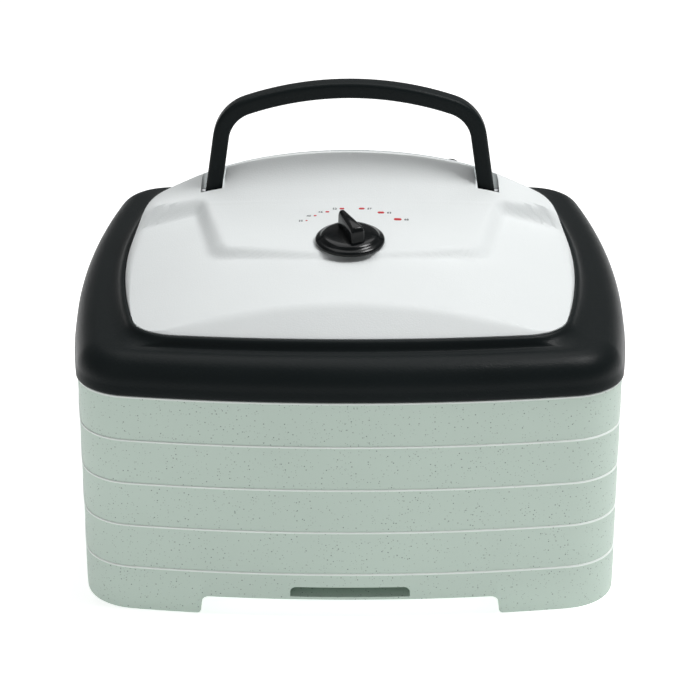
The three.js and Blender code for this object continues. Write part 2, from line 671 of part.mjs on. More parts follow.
const MOTOR_SCREWS = [-29, 29];
const MOTOR_TOP = MOTOR_Z + LAMINATION.z;
const AIR_BORE = 15.4;
add('motor_bridge', motorBridge(), STEEL);
BRIDGE_FEET.forEach((x, i) => {
  add(`bridge_screw_${i + 1}`, screw(3.8, 2, FLOOR_Z - 2, FLOOR_Z - GAP, 154, { x }), STEEL);
});

function laminations() {
  const half = LAMINATION.x / 2;
  const holes = [drum(AIR_BORE, 160, 200, { sides: 24 }), block(-17, 17, 21, 36, 160, 200)];
  for (const x of MOTOR_SCREWS) holes.push(drum(2.1, 160, 200, { x, sides: SCREW_SIDES }));
  return block(-half, half, -23, 46, MOTOR_Z, MOTOR_TOP).subtract(joined(holes));
}
add('motor_laminations', laminations(), STEEL);

function motorCoil() {
  const wound = block(-16, 16, 22, 55, MOTOR_Z - 6, MOTOR_TOP + 6);
  return wound.subtract(block(-40, 40, 36 - GAP, 46 + GAP, MOTOR_Z - GAP, MOTOR_TOP + GAP));
}
add('motor_coil', motorCoil(), COPPER);

function bearingBracket(strapBottom, cupBottom, cupTop) {
  let body = block(-34, 34, -9, 9, strapBottom, strapBottom + 1.7);
  body = body.add(drum(8, cupBottom, cupTop, { sides: 16 }));
  const holes = [drum(5.3, 150, 210, { sides: 16 })];
  for (const x of MOTOR_SCREWS) holes.push(drum(2.1, 150, 210, { x, sides: SCREW_SIDES }));
  return body.subtract(joined(holes));
}
const LOWER_STRAP = BRIDGE_TOP + GAP;
const UPPER_STRAP = MOTOR_TOP + GAP;
add('lower_bearing_bracket', bearingBracket(LOWER_STRAP, 163.5, LOWER_STRAP + 1.7), STEEL);
add('upper_bearing_bracket', bearingBracket(UPPER_STRAP, UPPER_STRAP, 198), STEEL);

const bush = (z0, z1) => drum(5, z0, z1, { sides: 16 }).subtract(drum(SHAFT_RADIUS + GAP, 150, 210));
add('lower_bush', bush(164, 171), BRONZE);
add('upper_bush', bush(191, 197.5), BRONZE);
MOTOR_SCREWS.forEach((x, i) => {
  add(`motor_screw_${i + 1}`, screw(3.5, 1.8, BRIDGE_BOTTOM - 2, BRIDGE_BOTTOM - GAP, 194.5, { x }), STEEL);
});

add('motor_shaft', drum(SHAFT_RADIUS, 148, 200), STEEL);
const rotorBore = drum(SHAFT_RADIUS + GAP, 140, 210);
add('motor_rotor', drum(AIR_BORE - 0.6, MOTOR_Z + 1, MOTOR_TOP - 1).subtract(rotorBore), STEEL);

function fan() {
  const hub = drum(13, FAN_Z, FAN_Z + 9, { sides: 20 });
  const blades = around(6, 33, 0).map(([x, y, a]) => {
    const blade = new THREE.BoxGeometry(2 * (FAN_RADIUS - 33), 21, 1.5).rotateX(THREE.MathUtils.degToRad(20));
    return solid(place(blade, { x, y, z: FAN_Z + 4.6, rz: a }));
  });
  return joined([hub, ...blades]).subtract(rotorBore);
}
add('fan_blade', fan(), paint(0xc9cdd0, 0.4));

// ---- thermostat ----

function knob() {
  let body = turned([
    [0, 8.4], [14, 8.2], [17, 7.2], [18, 5.6], [20.4, 5], [KNOB_RADIUS, 3.6], [KNOB_RADIUS, 1], [18, 1], [18, 4],
    [0, 4],
  ], 36);
  const grip = new THREE.Shape();
  grip.moveTo(-4.6, -14);
  grip.lineTo(4.6, -14);
  grip.lineTo(2.6, 15.5);
  grip.lineTo(-2.6, 15.5);
  const bar = new THREE.ExtrudeGeometry(grip, {
    depth: 9, bevelEnabled: true, bevelThickness: 1.2, bevelSize: 1.2, bevelOffset: -1.2, bevelSegments: 2,
  });
  body = body.add(outward(bar.translate(0, 0, 7).rotateZ(THREE.MathUtils.degToRad(POINTER))));
  return body.add(drum(5, 3.6, 5, { sides: 16 })).subtract(drum(SHAFT_RADIUS + GAP, 0, 7, { sides: 16 }));
}
const POINTER = 22; // degrees the pointer stands left of twelve o'clock
const PANEL_WALL = COVER_WALL + 0.4;
seated('thermostat_knob', knob(), PANEL_SEAT, GLOSS_BLACK);
seated('thermostat_shaft', drum(SHAFT_RADIUS, -4, 6.6, { sides: 16 }), PANEL_SEAT, STEEL);

function thermostatBody() {
  const box = block(-15, 15, -12, 12, -PANEL_WALL - 17, -PANEL_WALL);
  const bushing = drum(5, -PANEL_WALL - 1, 2.6, { sides: 16 });
  return box.add(bushing).subtract(drum(SHAFT_RADIUS + GAP, -5, 4, { sides: 16 }));
}
seated('thermostat_body', thermostatBody(), PANEL_SEAT, BAKELITE);
const nut = drum(8, GAP, 2.2, { sides: 6 }).subtract(drum(5 + GAP, -1, 4, { sides: 16 }));
seated('thermostat_nut', nut, PANEL_SEAT, BRONZE);

// ---- mains inlet and leads ----

const gland = drum(8.5, GAP, 3.4, { sides: 20, top: 7 }).add(drum(5.7, -7, 1, { sides: 16 }));
seated('inlet_gland', gland.subtract(drum(3.4, -10, 8, { sides: 16 })), INLET_SEAT, BLACK);

function lead(points) {
  const curve = new THREE.CatmullRomCurve3(points.map((p) => new THREE.Vector3(...p)));
  return rod(curve, 1.3, 12, 6);
}
add('lead_inlet_to_thermostat', lead([
  [68, 124, 178], [62, 95, 176], [60, 50, 176], [56, 0, 176], [38, -36, 178], [17, -54, 188],
]), LEAD);
add('lead_to_motor', lead([
  [17, -62, 188], [46, -44, 184], [50, 0, 182], [48, 44, 182], [34, 53, 182], [17.5, 51, 182],
]), LEAD);
add('lead_to_cutout', lead([[-17, -58, 188], [-24, -60, 180], [-18, -60, 168], [-8.5, -60, 165]]), LEAD);

// ---- carry handle ----

function carryHandle() {
  const chamfer = 2.6;
  const { y, z } = HANDLE_PIVOT;
  const geometry = new THREE.ExtrudeGeometry(handleShape(0), {
    depth: HANDLE_DEPTH - 2 * chamfer, bevelEnabled: true, bevelThickness: chamfer, bevelSize: chamfer,
    bevelOffset: -chamfer, bevelSegments: 2,
  });
  geometry.rotateX(Math.PI / 2).translate(0, y + HANDLE_DEPTH / 2 - chamfer, z);
  let body = outward(geometry);
  const round = HANDLE_DEPTH / 2;
  for (const side of [-1, 1]) {
    const x = side * HANDLE_HALF;
    const eye = new THREE.CylinderGeometry(round, round, 20, 20);
    const below = block(x - 9, x + 9, y - 12, y + 12, z - 12, z);
    body = body.subtract(below.subtract(solid(place(eye, { x, y, z, rz: Math.PI / 2 }))));
    const bore = new THREE.CylinderGeometry(PIN_RADIUS + GAP, PIN_RADIUS + GAP, 30, 16);
    body = body.subtract(solid(place(bore, { x, y, z, rz: Math.PI / 2 })));
  }
  return body;
}
add('carry_handle', carryHandle(), BLACK);
for (const [side, name] of [[-1, 'left'], [1, 'right']]) {
  const pin = new THREE.CylinderGeometry(PIN_RADIUS, PIN_RADIUS, 18, 16);
  const seat = { x: side * HANDLE_HALF, ...HANDLE_PIVOT, rz: Math.PI / 2 };
  add(`handle_pin_${name}`, solid(place(pin, seat)), STEEL);
}

export default model;
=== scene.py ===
import json
import math

import bmesh
import bpy
import numpy as np
from bpy.props import FloatProperty, FloatVectorProperty, IntProperty, PointerProperty
from mathutils import Matrix, Vector


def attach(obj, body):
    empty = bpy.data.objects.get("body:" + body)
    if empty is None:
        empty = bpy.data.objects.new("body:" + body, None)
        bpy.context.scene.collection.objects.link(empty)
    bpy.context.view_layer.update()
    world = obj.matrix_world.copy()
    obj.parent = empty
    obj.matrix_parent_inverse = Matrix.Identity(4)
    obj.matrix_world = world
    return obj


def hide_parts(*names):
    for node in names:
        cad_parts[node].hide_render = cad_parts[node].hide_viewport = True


bl_info = {
    "name": "Food Dehydrator Builder",
    "version": (1, 0, 0),
    "blender": (4, 5, 0),
    "location": "3D View > Sidebar > Dehydrator",
    "description": "Builds a square stacking food dehydrator round its packed frame",
    "category": "Add Mesh",
}

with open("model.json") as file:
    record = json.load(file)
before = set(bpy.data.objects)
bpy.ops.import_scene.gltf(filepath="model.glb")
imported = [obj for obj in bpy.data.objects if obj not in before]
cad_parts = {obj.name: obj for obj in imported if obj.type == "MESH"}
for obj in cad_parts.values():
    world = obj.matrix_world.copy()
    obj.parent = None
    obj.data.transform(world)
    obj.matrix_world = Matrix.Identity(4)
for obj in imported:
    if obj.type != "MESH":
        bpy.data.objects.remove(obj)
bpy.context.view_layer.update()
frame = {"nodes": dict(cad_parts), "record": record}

MM = 0.001
TRAYS = ("tray_4", "tray_3", "tray_2", "tray_1")  # from the bottom up
SEAM = 1e-6  # points closer than this are one


# ---- settings a user would change ----


def length(name, description, default_mm):
    return FloatProperty(name=name, description=description, default=default_mm * MM, unit="LENGTH")


def colour(name, description, default):
    return FloatVectorProperty(
        name=name, description=description, default=default, subtype="COLOR", size=3, min=0, max=1
    )


class DehydratorSizes(bpy.types.PropertyGroup):
    wall: length("Wall", "Wall of the base and the trays", 2.6)
    foot_height: length("Foot height", "Height of the corner feet", 12.1)
    foot_span: length("Foot span", "Half width of the gap between two feet", 90)
    tray_pitch: length("Tray pitch", "Height that one tray adds to the stack", 28)
    lattice_bar: length("Lattice bar", "Thickness of the bars in a tray's floor", 1.9)
    roll_radius: length("Band shoulder", "Radius of the black band's rounded shoulder", 16)
    cover_wall: length("Cover wall", "Wall of the white cover", 3)
    handle_thick: length("Handle thickness", "Thickness of the carry handle, seen from the front", 10.4)
    handle_depth: length("Handle depth", "Depth of the carry handle, front to back", 14)
    knob_radius: length("Knob radius", "Radius of the thermostat knob", 21.4)
    lattice_cells: IntProperty(
        name="Lattice cells", description="Openings across a tray's floor", default=24, min=4, max=40
    )


class DehydratorColours(bpy.types.PropertyGroup):
    tray: colour("Trays", "Pale grey-green plastic of the base and trays", (0.50, 0.60, 0.535))
    fleck: colour("Flecks", "Dark flecks in the tray plastic", (0.13, 0.17, 0.15))
    cover: colour("Cover", "Off-white plastic of the cover", (0.77, 0.80, 0.80))
    black: colour("Band and handle", "Satin black plastic", (0.007, 0.010, 0.0105))
    knob: colour("Knob", "Gloss black plastic", (0.003, 0.004, 0.0045))
    mark: colour("Dial marks", "Red ink of the temperature marks", (0.55, 0.02, 0.03))
    ink: colour("Dial numbers", "Dark ink of the temperature numbers", (0.03, 0.03, 0.035))


# ---- modelling helpers ----


def fresh(*pieces):
    """Leaves edit mode and selects only these pieces."""
    if bpy.context.object and bpy.context.object.mode != "OBJECT":
        bpy.ops.object.mode_set(mode="OBJECT")
    bpy.ops.object.select_all(action="DESELECT")
    for piece in pieces:
        piece.select_set(True)
    if pieces:
        bpy.context.view_layer.objects.active = pieces[0]


def named(name):
    piece = bpy.context.object
    piece.name = name
    piece.data.name = name
    return piece


def edit_all(piece):
    fresh(piece)
    bpy.ops.object.mode_set(mode="EDIT")
    bpy.ops.mesh.select_all(action="SELECT")


def close_up(piece):
    """Merges the seam, closes the ends and turns the faces outwards."""
    edit_all(piece)
    bpy.ops.mesh.remove_doubles(threshold=SEAM)
    bpy.ops.mesh.fill_holes(sides=0)
    bpy.ops.mesh.select_all(action="SELECT")
    bpy.ops.mesh.normals_make_consistent(inside=False)
    bpy.ops.object.mode_set(mode="OBJECT")
    return piece


def lofted(name, rows, ring=False):
    """A skin over rows of points in millimetres, each row closed; a ring's last row joins its first."""
    rows = np.asarray(rows, float)
    rows = np.concatenate([rows, rows[:, :1]], axis=1)
    if ring:
        rows = np.concatenate([rows, rows[:1]], axis=0)
    lines, count = rows.shape[:2]
    fresh()
    bpy.ops.mesh.primitive_grid_add(x_subdivisions=count - 1, y_subdivisions=lines - 1, size=1)
    piece = named(name)
    piece.data.vertices.foreach_set("co", (rows * MM).ravel())
    return close_up(piece)


def turned(name, profile, steps):
    """A round piece spun from a profile of (radius, height) points, in millimetres."""
    fresh()
    bpy.ops.mesh.primitive_circle_add(vertices=3, radius=MM)
    piece = named(name)
    bpy.ops.object.mode_set(mode="EDIT")
    bpy.ops.mesh.delete(type="VERT")
    draft = bmesh.from_edit_mesh(piece.data)
    corners = [draft.verts.new((r * MM, 0, z * MM)) for r, z in profile]
    for a, b in zip(corners, corners[1:]):
        draft.edges.new((a, b))
    bmesh.update_edit_mesh(piece.data)
    bpy.ops.mesh.select_all(action="SELECT")
    bpy.ops.mesh.spin(steps=steps, angle=2 * math.pi, center=(0, 0, 0), axis=(0, 0, 1))
    bpy.ops.mesh.select_all(action="SELECT")
    bpy.ops.mesh.remove_doubles(threshold=SEAM)
    bpy.ops.mesh.normals_make_consistent(inside=False)
    bpy.ops.object.mode_set(mode="OBJECT")
    return piece


def block(name, low, high, edge=0.0, segments=2):
    """A box between two corners in millimetres, its edges rounded in edit mode."""
    fresh()
    bpy.ops.mesh.primitive_cube_add(size=1)
    piece = named(name)
    size = [(b - a) * MM for a, b in zip(low, high)]
    middle = [(a + b) / 2 * MM for a, b in zip(low, high)]
    edit_all(piece)
    bpy.ops.transform.resize(value=size)
    bpy.ops.transform.translate(value=middle)
    if edge:
        bpy.ops.mesh.bevel(offset=edge * MM, segments=segments, affect="EDGES")
    bpy.ops.object.mode_set(mode="OBJECT")
    return piece


def moulded(piece, kind, **settings):
    """Adds a modifier, sets it and applies it."""
    fresh(piece)
    modifier = piece.modifiers.new(kind.title(), kind)
    for key, value in settings.items():
        setattr(modifier, key, value)
    bpy.ops.object.modifier_apply(modifier=modifier.name)
    return piece


def cut(piece, *cutters):
    """Cuts each cutter out of the piece in turn, and clears it away."""
    for cutter in cutters:
        moulded(piece, "BOOLEAN", object=cutter, operation="DIFFERENCE", solver="EXACT")
        bpy.data.objects.remove(cutter)
    edit_all(piece)
    bpy.ops.mesh.dissolve_degenerate(threshold=SEAM)
    bpy.ops.object.mode_set(mode="OBJECT")
    return piece


def joined(name, pieces):
    fresh(*pieces)
    bpy.ops.object.join()
    return named(name)


def copied(piece, name, shift=(0, 0, 0)):
    """A copy with its own mesh, moved by millimetres."""
    twin = piece.copy()
    twin.data = piece.data.copy()
    twin.name = name
    twin.data.name = name
    twin.data.transform(Matrix.Translation(Vector(shift) * MM))
    bpy.context.scene.collection.objects.link(twin)
    return twin


def settle(piece, material, body, nodes=(), angle=38):
    """Shades the piece, gives it its material, ties it to its body, and hides the nodes it stands for."""
    fresh(piece)
    bpy.ops.object.shade_smooth_by_angle(angle=math.radians(angle))
    piece.data.materials.clear()
    piece.data.materials.append(material)
    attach(piece, body)
    if nodes:
        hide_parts(*nodes)
    return piece


# ---- outlines, in millimetres ----

HALF = 172.5  # half width of the base, the trays and the band
BASE_TOP = 29.6
BED_INSET = 14.2  # from a tray's outside to the edge of its lattice
HIGHLIGHT_HEIGHT = 1.3  # height of the band along a wall's top that gets a painted highlight
PLAN = {"half": (HALF, HALF), "bow": 852, "bow_side": 852, "corner": 36, "shift": 0}
COVER_PLAN = {"half": (142.5, 144.25), "bow": 860, "bow_side": 520, "corner": 30, "shift": -1.75}


def outline(plan, inset=0.0, side_steps=40, corner_steps=12):
    """A bowed square in plan, inset from its outside, as an array of (x, y).

    The right side is an arc about (ax, 0), the rear about (0, by), the corner between them about (cx, cy).
    """
    bow, bow_side = plan["bow"] - inset, plan["bow_side"] - inset
    round_off = max(plan["corner"] - inset, 2)
    ax, by = plan["half"][0] - plan["bow_side"], plan["half"][1] - plan["bow"]
    far = math.hypot(ax, by)
    ra, rb = bow_side - round_off, bow - round_off
    along = (ra * ra - rb * rb + far * far) / (2 * far)
    off = math.sqrt(ra * ra - along * along)
    ux, uy = -ax / far, by / far
    cx, cy = ax + ux * along - uy * off, uy * along + ux * off
    start, end = math.atan2(cy, cx - ax), math.atan2(cy - by, cx)
    side = -start + 2 * start * np.arange(side_steps) / side_steps
    corner = start + (end - start) * np.arange(corner_steps) / corner_steps
    back = end + (math.pi - 2 * end) * np.arange(side_steps) / side_steps
    other = math.pi - end + (end - start) * np.arange(corner_steps) / corner_steps
    half = np.concatenate([
        np.c_[ax + bow_side * np.cos(side), bow_side * np.sin(side)],
        np.c_[cx + round_off * np.cos(corner), cy + round_off * np.sin(corner)],
        np.c_[bow * np.cos(back), by + bow * np.sin(back)],
        np.c_[-cx + round_off * np.cos(other), cy + round_off * np.sin(other)],
    ])
    return np.concatenate([half, -half]) + (0, plan["shift"])


def level(plan, inset, z, side_steps=40, corner_steps=12):
    flat = outline(plan, inset, side_steps, corner_steps)
    return np.c_[flat, np.full(len(flat), z)]


def levels(plan, profile, side_steps=40, corner_steps=12):
    return [level(plan, inset, z, side_steps, corner_steps) for inset, z in profile]


def arc(centre, radius, start, end, steps):
    """Points on an arc in a profile, from one bearing in degrees to another."""
    angles = np.radians(np.linspace(start, end, steps + 1))
    return [(centre[0] + radius * math.cos(a), centre[1] + radius * math.sin(a)) for a in angles]


def bar_along(name, section, axis, start, end):
    """A flat outline of (across, up) points, pushed along X or Y."""
    across = 1 - axis
    rows = []
    for place in (start, end):
        row = np.zeros((len(section), 3))
        row[:, axis] = place
        row[:, across] = [p[0] for p in section]
        row[:, 2] = [p[1] for p in section]
        rows.append(row)
    return lofted(name, rows)


# ---- materials ----


def node_group(name, inputs, outputs):
    tree = bpy.data.node_groups.new(name, "ShaderNodeTree")
    for label, kind, value in inputs:
        socket = tree.interface.new_socket(name=label, in_out="INPUT", socket_type=kind)
        socket.default_value = value
    for label, kind in outputs:
        tree.interface.new_socket(name=label, in_out="OUTPUT", socket_type=kind)
    return tree, tree.nodes.new("NodeGroupInput"), tree.nodes.new("NodeGroupOutput")


def node(tree, kind, **settings):
    made = tree.nodes.new(kind)
    for key, value in settings.items():
        setattr(made, key, value)
    return made


def feed(tree, socket, value):
    """Links the socket to another's value, or sets the number or colour there."""
    if isinstance(value, bpy.types.NodeSocket):
        tree.links.new(value, socket)
    else:
        socket.default_value = (*value, 1) if hasattr(value, "__len__") else value


def maths(tree, operation, a, b):
    made = node(tree, "ShaderNodeMath", operation=operation)
    feed(tree, made.inputs[0], a)
    feed(tree, made.inputs[1], b)
    return made.outputs[0]


def mixed(tree, share, a, b, blend="MIX"):
    made = node(tree, "ShaderNodeMix", data_type="RGBA", blend_type=blend)
    feed(tree, made.inputs[0], share)
    feed(tree, made.inputs[6], a)
    feed(tree, made.inputs[7], b)
    return made.outputs[2]


def noise(tree, scale, detail):
    """Noise that stays put on the piece."""
    place = node(tree, "ShaderNodeTexCoord")
    made = node(tree, "ShaderNodeTexNoise", noise_dimensions="3D")
    made.inputs["Detail"].default_value = detail
    feed(tree, made.inputs["Vector"], place.outputs["Object"])
    feed(tree, made.inputs["Scale"], scale)
    return made


def grain_group():
    """Fine moulded grain: a height, and a mask of the same grain."""
    tree, source, result = node_group(
        "Moulded grain",
        [("Grain Scale", "NodeSocketFloat", 900.0), ("Softness", "NodeSocketFloat", 0.5)],
        [("Height", "NodeSocketFloat"), ("Grain", "NodeSocketFloat")],
    )
    scale = source.outputs["Grain Scale"]
    fine = noise(tree, scale, 2)
    feed(tree, fine.inputs["Roughness"], source.outputs["Softness"])
    wide = noise(tree, maths(tree, "MULTIPLY", scale, 0.18), 1)
    height = maths(tree, "ADD", fine.outputs[0], maths(tree, "MULTIPLY", wide.outputs[0], 0.35))
    feed(tree, result.inputs["Height"], height)
    feed(tree, result.inputs["Grain"], fine.outputs[0])
    return tree


def fleck_group():
    """Dark flecks of two sizes scattered through a plastic."""
    tree, source, result = node_group(
        "Flecks",
        [
            ("Plastic", "NodeSocketColor", (0.5, 0.5, 0.5, 1)),
            ("Fleck", "NodeSocketColor", (0.1, 0.1, 0.1, 1)),
            ("Spacing Scale", "NodeSocketFloat", 260.0),
            ("Amount", "NodeSocketFloat", 0.6),
        ],
        [("Color", "NodeSocketColor"), ("Mask", "NodeSocketFloat")],
    )
    place = node(tree, "ShaderNodeTexCoord")
    mask = None
    sharpness = 14.0
    for finer, size, chance, weight in ((1.0, 0.16, 0.75, 1.0), (1.9, 0.2, 0.6, 0.7)):
        cells = node(tree, "ShaderNodeTexVoronoi", feature="F1", voronoi_dimensions="3D")
        feed(tree, cells.inputs["Vector"], place.outputs["Object"])
        feed(tree, cells.inputs["Scale"], maths(tree, "MULTIPLY", source.outputs["Spacing Scale"], finer))
        edge = maths(tree, "SUBTRACT", size, cells.outputs["Distance"])
        dot = maths(tree, "MULTIPLY", edge, sharpness)
        dot.node.use_clamp = True
        split = node(tree, "ShaderNodeSeparateColor")
        feed(tree, split.inputs[0], cells.outputs["Color"])
        picked = maths(tree, "LESS_THAN", split.outputs[0], chance)
        shown = maths(tree, "MULTIPLY", maths(tree, "MULTIPLY", dot, picked), weight)
        mask = shown if mask is None else maths(tree, "MAXIMUM", mask, shown)
    share = maths(tree, "MULTIPLY", mask, source.outputs["Amount"])
    speckled = mixed(tree, share, source.outputs["Plastic"], source.outputs["Fleck"])
    feed(tree, result.inputs["Color"], speckled)
    feed(tree, result.inputs["Mask"], mask)
    return tree


def drift_group():
    """Slow cloudy change of tone over a large moulding."""
    tree, source, result = node_group(
        "Tone drift",
        [
            ("Color", "NodeSocketColor", (0.5, 0.5, 0.5, 1)),
            ("Cloud Scale", "NodeSocketFloat", 9.0),
            ("Low", "NodeSocketFloat", 0.94),
            ("High", "NodeSocketFloat", 1.05),
            ("Roughness", "NodeSocketFloat", 0.5),
        ],
        [("Color", "NodeSocketColor"), ("Roughness", "NodeSocketFloat")],
    )
    cloud = noise(tree, source.outputs["Cloud Scale"], 3)
    band = node(tree, "ShaderNodeMapRange")
    feed(tree, band.inputs["Value"], cloud.outputs[0])
    feed(tree, band.inputs["From Min"], 0.3)
    feed(tree, band.inputs["From Max"], 0.7)
    feed(tree, band.inputs["To Min"], source.outputs["Low"])
    feed(tree, band.inputs["To Max"], source.outputs["High"])
    shade = node(tree, "ShaderNodeCombineColor")
    for socket in shade.inputs:
        feed(tree, socket, band.outputs[0])
    toned = mixed(tree, 1.0, source.outputs["Color"], shade.outputs[0], "MULTIPLY")
    rough = maths(tree, "MULTIPLY", source.outputs["Roughness"], band.outputs[0])
    feed(tree, result.inputs["Color"], toned)
    feed(tree, result.inputs["Roughness"], rough)
    return tree


GROUPS = {"Moulded grain": grain_group, "Flecks": fleck_group, "Tone drift": drift_group}


def placed_group(tree, name, **values):
    """Puts one of the shared groups into a material, with its own values."""
    made = node(tree, "ShaderNodeGroup", node_tree=bpy.data.node_groups.get(name) or GROUPS[name]())
    for label, value in values.items():
        feed(tree, made.inputs[label.replace("_", " ").title()], value)
    return made


GRAIN_DEPTH = 0.6 * MM


def plastic(
    name, tone, roughness, grain=900.0, depth=0.05, drift=(0.96, 1.04), flecks=None, coat=0.0, metal=0.0,
    specular=0.5, lip=None,
):
    """A material with a drifting tone and fine grain, and with flecks or a painted highlight on the lip where
    they are given.
    """
    made = bpy.data.materials.get(name)
    if made:
        return made
    made = bpy.data.materials.new(name)
    made.use_nodes = True
    tree = made.node_tree
    shader = tree.nodes["Principled BSDF"]
    shader.inputs["Metallic"].default_value = metal
    shader.inputs["Coat Weight"].default_value = coat
    shader.inputs["Coat Roughness"].default_value = 0.08
    shader.inputs["Specular IOR Level"].default_value = specular
    base = placed_group(tree, "Tone drift", color=tone, low=drift[0], high=drift[1], roughness=roughness)
    shown = base.outputs["Color"]
    if flecks:
        fleck, spacing, amount = flecks
        spotted = placed_group(
            tree, "Flecks", plastic=shown, fleck=fleck, spacing_scale=spacing, amount=amount
        )
        shown = spotted.outputs["Color"]
    if lip:
        # painted highlight: the lip band is mixed towards a paler colour, standing in for the light that the
        # ledge at each joint catches
        highlight_band = node(tree, "ShaderNodeAttribute", attribute_name="lip")
        shown = mixed(tree, maths(tree, "MULTIPLY", highlight_band.outputs["Fac"], 0.9), shown, lip)
    feed(tree, shader.inputs["Base Color"], shown)
    feed(tree, shader.inputs["Roughness"], base.outputs["Roughness"])
    surface = placed_group(tree, "Moulded grain", grain_scale=grain)
    bump = node(tree, "ShaderNodeBump")
    bump.inputs["Strength"].default_value = depth
    bump.inputs["Distance"].default_value = GRAIN_DEPTH
    feed(tree, bump.inputs["Height"], surface.outputs["Height"])
    feed(tree, shader.inputs["Normal"], bump.outputs[0])
    return made


def wound(name, tone, pitch_scale, metal, roughness):
    """Wire laid in turns: a wave of ridges up the piece."""
    made = plastic(name, tone, roughness, metal=metal, depth=0.2)
    tree = made.node_tree
    if any(n.bl_idname == "ShaderNodeTexWave" for n in tree.nodes):
        return made
    bump = next(n for n in tree.nodes if n.bl_idname == "ShaderNodeBump")
    place = node(tree, "ShaderNodeTexCoord")
    turns = node(tree, "ShaderNodeTexWave", wave_type="BANDS", bands_direction="Z", wave_profile="SIN")
    turns.inputs["Scale"].default_value = pitch_scale
    feed(tree, turns.inputs["Vector"], place.outputs["Object"])
    feed(tree, bump.inputs["Height"], turns.outputs["Fac"])
    bump.inputs["Strength"].default_value = 0.7
    return made


def tones():
    return bpy.context.scene.dehydrator_colours


def sizes():
    return bpy.context.scene.dehydrator_sizes


def tray_plastic():
    return plastic(
        "Speckled tray plastic", tones().tray[:], 0.5, grain=700, depth=0.12, drift=(0.97, 1.03),
        # the lip colour is a painted highlight along each wall's top
        flecks=(tones().fleck[:], 330.0, 0.85), specular=0.3, lip=(0.92, 0.97, 0.94),
    )


def cover_plastic():
    return plastic(
        "Off-white cover plastic", tones().cover[:], 0.5, grain=1100, depth=0.2, drift=(0.98, 1.02),
        specular=0.3,
    )


def black_plastic():
    return plastic(
        "Satin black plastic", tones().black[:], 0.38, grain=1200, depth=0.25, drift=(0.9, 1.1),
        specular=0.1,
    )


def gloss_plastic():
    return plastic("Gloss black plastic", tones().knob[:], 0.2, depth=0.02, coat=0.1, specular=0.2)


def inner_finishes():
    """Material for each of the record's slots that inner pieces use."""
    return {
        "speckled": tray_plastic(),
        "white": cover_plastic(),
        "black": black_plastic(),
        "knob_black": gloss_plastic(),
        "steel": plastic(
            "Zinc-plated steel", (0.42, 0.43, 0.44), 0.32, grain=400, depth=0.1, drift=(0.85, 1.08), metal=1,
        ),
        "aluminium": plastic(
            "Rolled aluminium", (0.62, 0.63, 0.64), 0.3, grain=500, depth=0.08, drift=(0.9, 1.05), metal=1,
        ),
        "copper": wound("Enamelled copper winding", (0.42, 0.15, 0.05), 330.0, 0.9, 0.35),
        "bronze": plastic("Sintered bronze", (0.38, 0.22, 0.08), 0.42, grain=1500, depth=0.3, metal=1.0),
        "ceramic": plastic("Unglazed ceramic", (0.80, 0.76, 0.66), 0.75, grain=800, depth=0.3),
        "resistance_wire": wound("Coiled resistance wire", (0.17, 0.15, 0.14), 220.0, 1.0, 0.42),
        "bakelite": plastic("Dark moulded resin", (0.03, 0.018, 0.012), 0.4, grain=600, depth=0.15),
        "lead": plastic("Woven lead sleeve", (0.68, 0.68, 0.64), 0.7, grain=1600, depth=0.5),
        "fan_plastic": plastic("Grey fan plastic", (0.55, 0.58, 0.60), 0.45, depth=0.1),
    }


# ---- operators ----


def bright_lip(piece, top):
    """Marks the narrow upper lip in the piece's lip attribute; the material paints a highlight there, paler
    than the plastic.
    """
    lip = piece.data.attributes.new("lip", "FLOAT", "POINT")
    for v in piece.data.vertices:
        lip.data[v.index].value = 1.0 if v.co.z > (top - HIGHLIGHT_HEIGHT) * MM else 0.0
    return piece


class MakeBase(bpy.types.Operator):
    """Base with corner feet, a floor and a grip slot in its front"""

    bl_idname = "dehydrator.make_base"
    bl_label = "Base"
    bl_options = {"REGISTER", "UNDO"}

    def execute(self, context):
        size = sizes()
        wall, foot, span = size.wall / MM, size.foot_height / MM, size.foot_span / MM
        floor = foot + 2.9
        shell = lofted("base_shell", levels(PLAN, [
            (1.0, 0), (0.3, 0.3), (0, 1.0), (0, BASE_TOP - 1.35), (0, BASE_TOP - 1.0),
            (0.1, BASE_TOP - 0.55), (0.35, BASE_TOP - 0.2), (0.8, BASE_TOP),
        ]))
        # painted highlight along the base's top rim
        bright_lip(shell, BASE_TOP)
        hollow = lofted("hollow", levels(PLAN, [
            (wall + 2, floor), (wall + 0.5, floor + 0.6), (wall, floor + 2), (wall, BASE_TOP + 1),
        ]))
        cut(hollow, block("housing", (-40, -HALF - 1, floor - 5), (40, -HALF + 17, 25)))
        under = lofted("under", levels(PLAN, [(14, -1), (14, foot)], 24, 8))
        cut(shell, hollow, *self.gaps(foot, span), under, self.scoop())
        settle(shell, tray_plastic(), "base", ["base"])
        return {"FINISHED"}

    def gaps(self, foot, span):
        """Cutters for the gaps between the feet, flared at the ground and rounded under the skirt."""
        flare, fillet, past = 3.6, 5, 190
        section = [(-span - fillet, -1), (-span - flare, -0.01)]
        section += arc((-span - flare, flare), flare, -90, 0, 8)
        section += arc((-span + fillet, foot - fillet), fillet, 180, 90, 8)
        section += [(-x, z) for x, z in reversed(section)]
        return [bar_along(f"gap_{axis}", section, axis, -past, past) for axis in (0, 1)]

    def scoop(self):
        """Cutter for the slot: deeper and higher inwards, with rounded upper corners."""
        half, corner = 36.0, 3.6
        rows = []
        for y, low, high in ((-4, 13.4, 20.3), (0, 13.8, 20.4), (14.5, 16.5, 22.5)):
            face = [(half, low)] + arc((32.4, high - corner), corner, 0, 90, 6)
            face += [(-x, z) for x, z in reversed(face)]
            rows.append([(x, -HALF + y, z) for x, z in face])
        return lofted("scoop", rows)


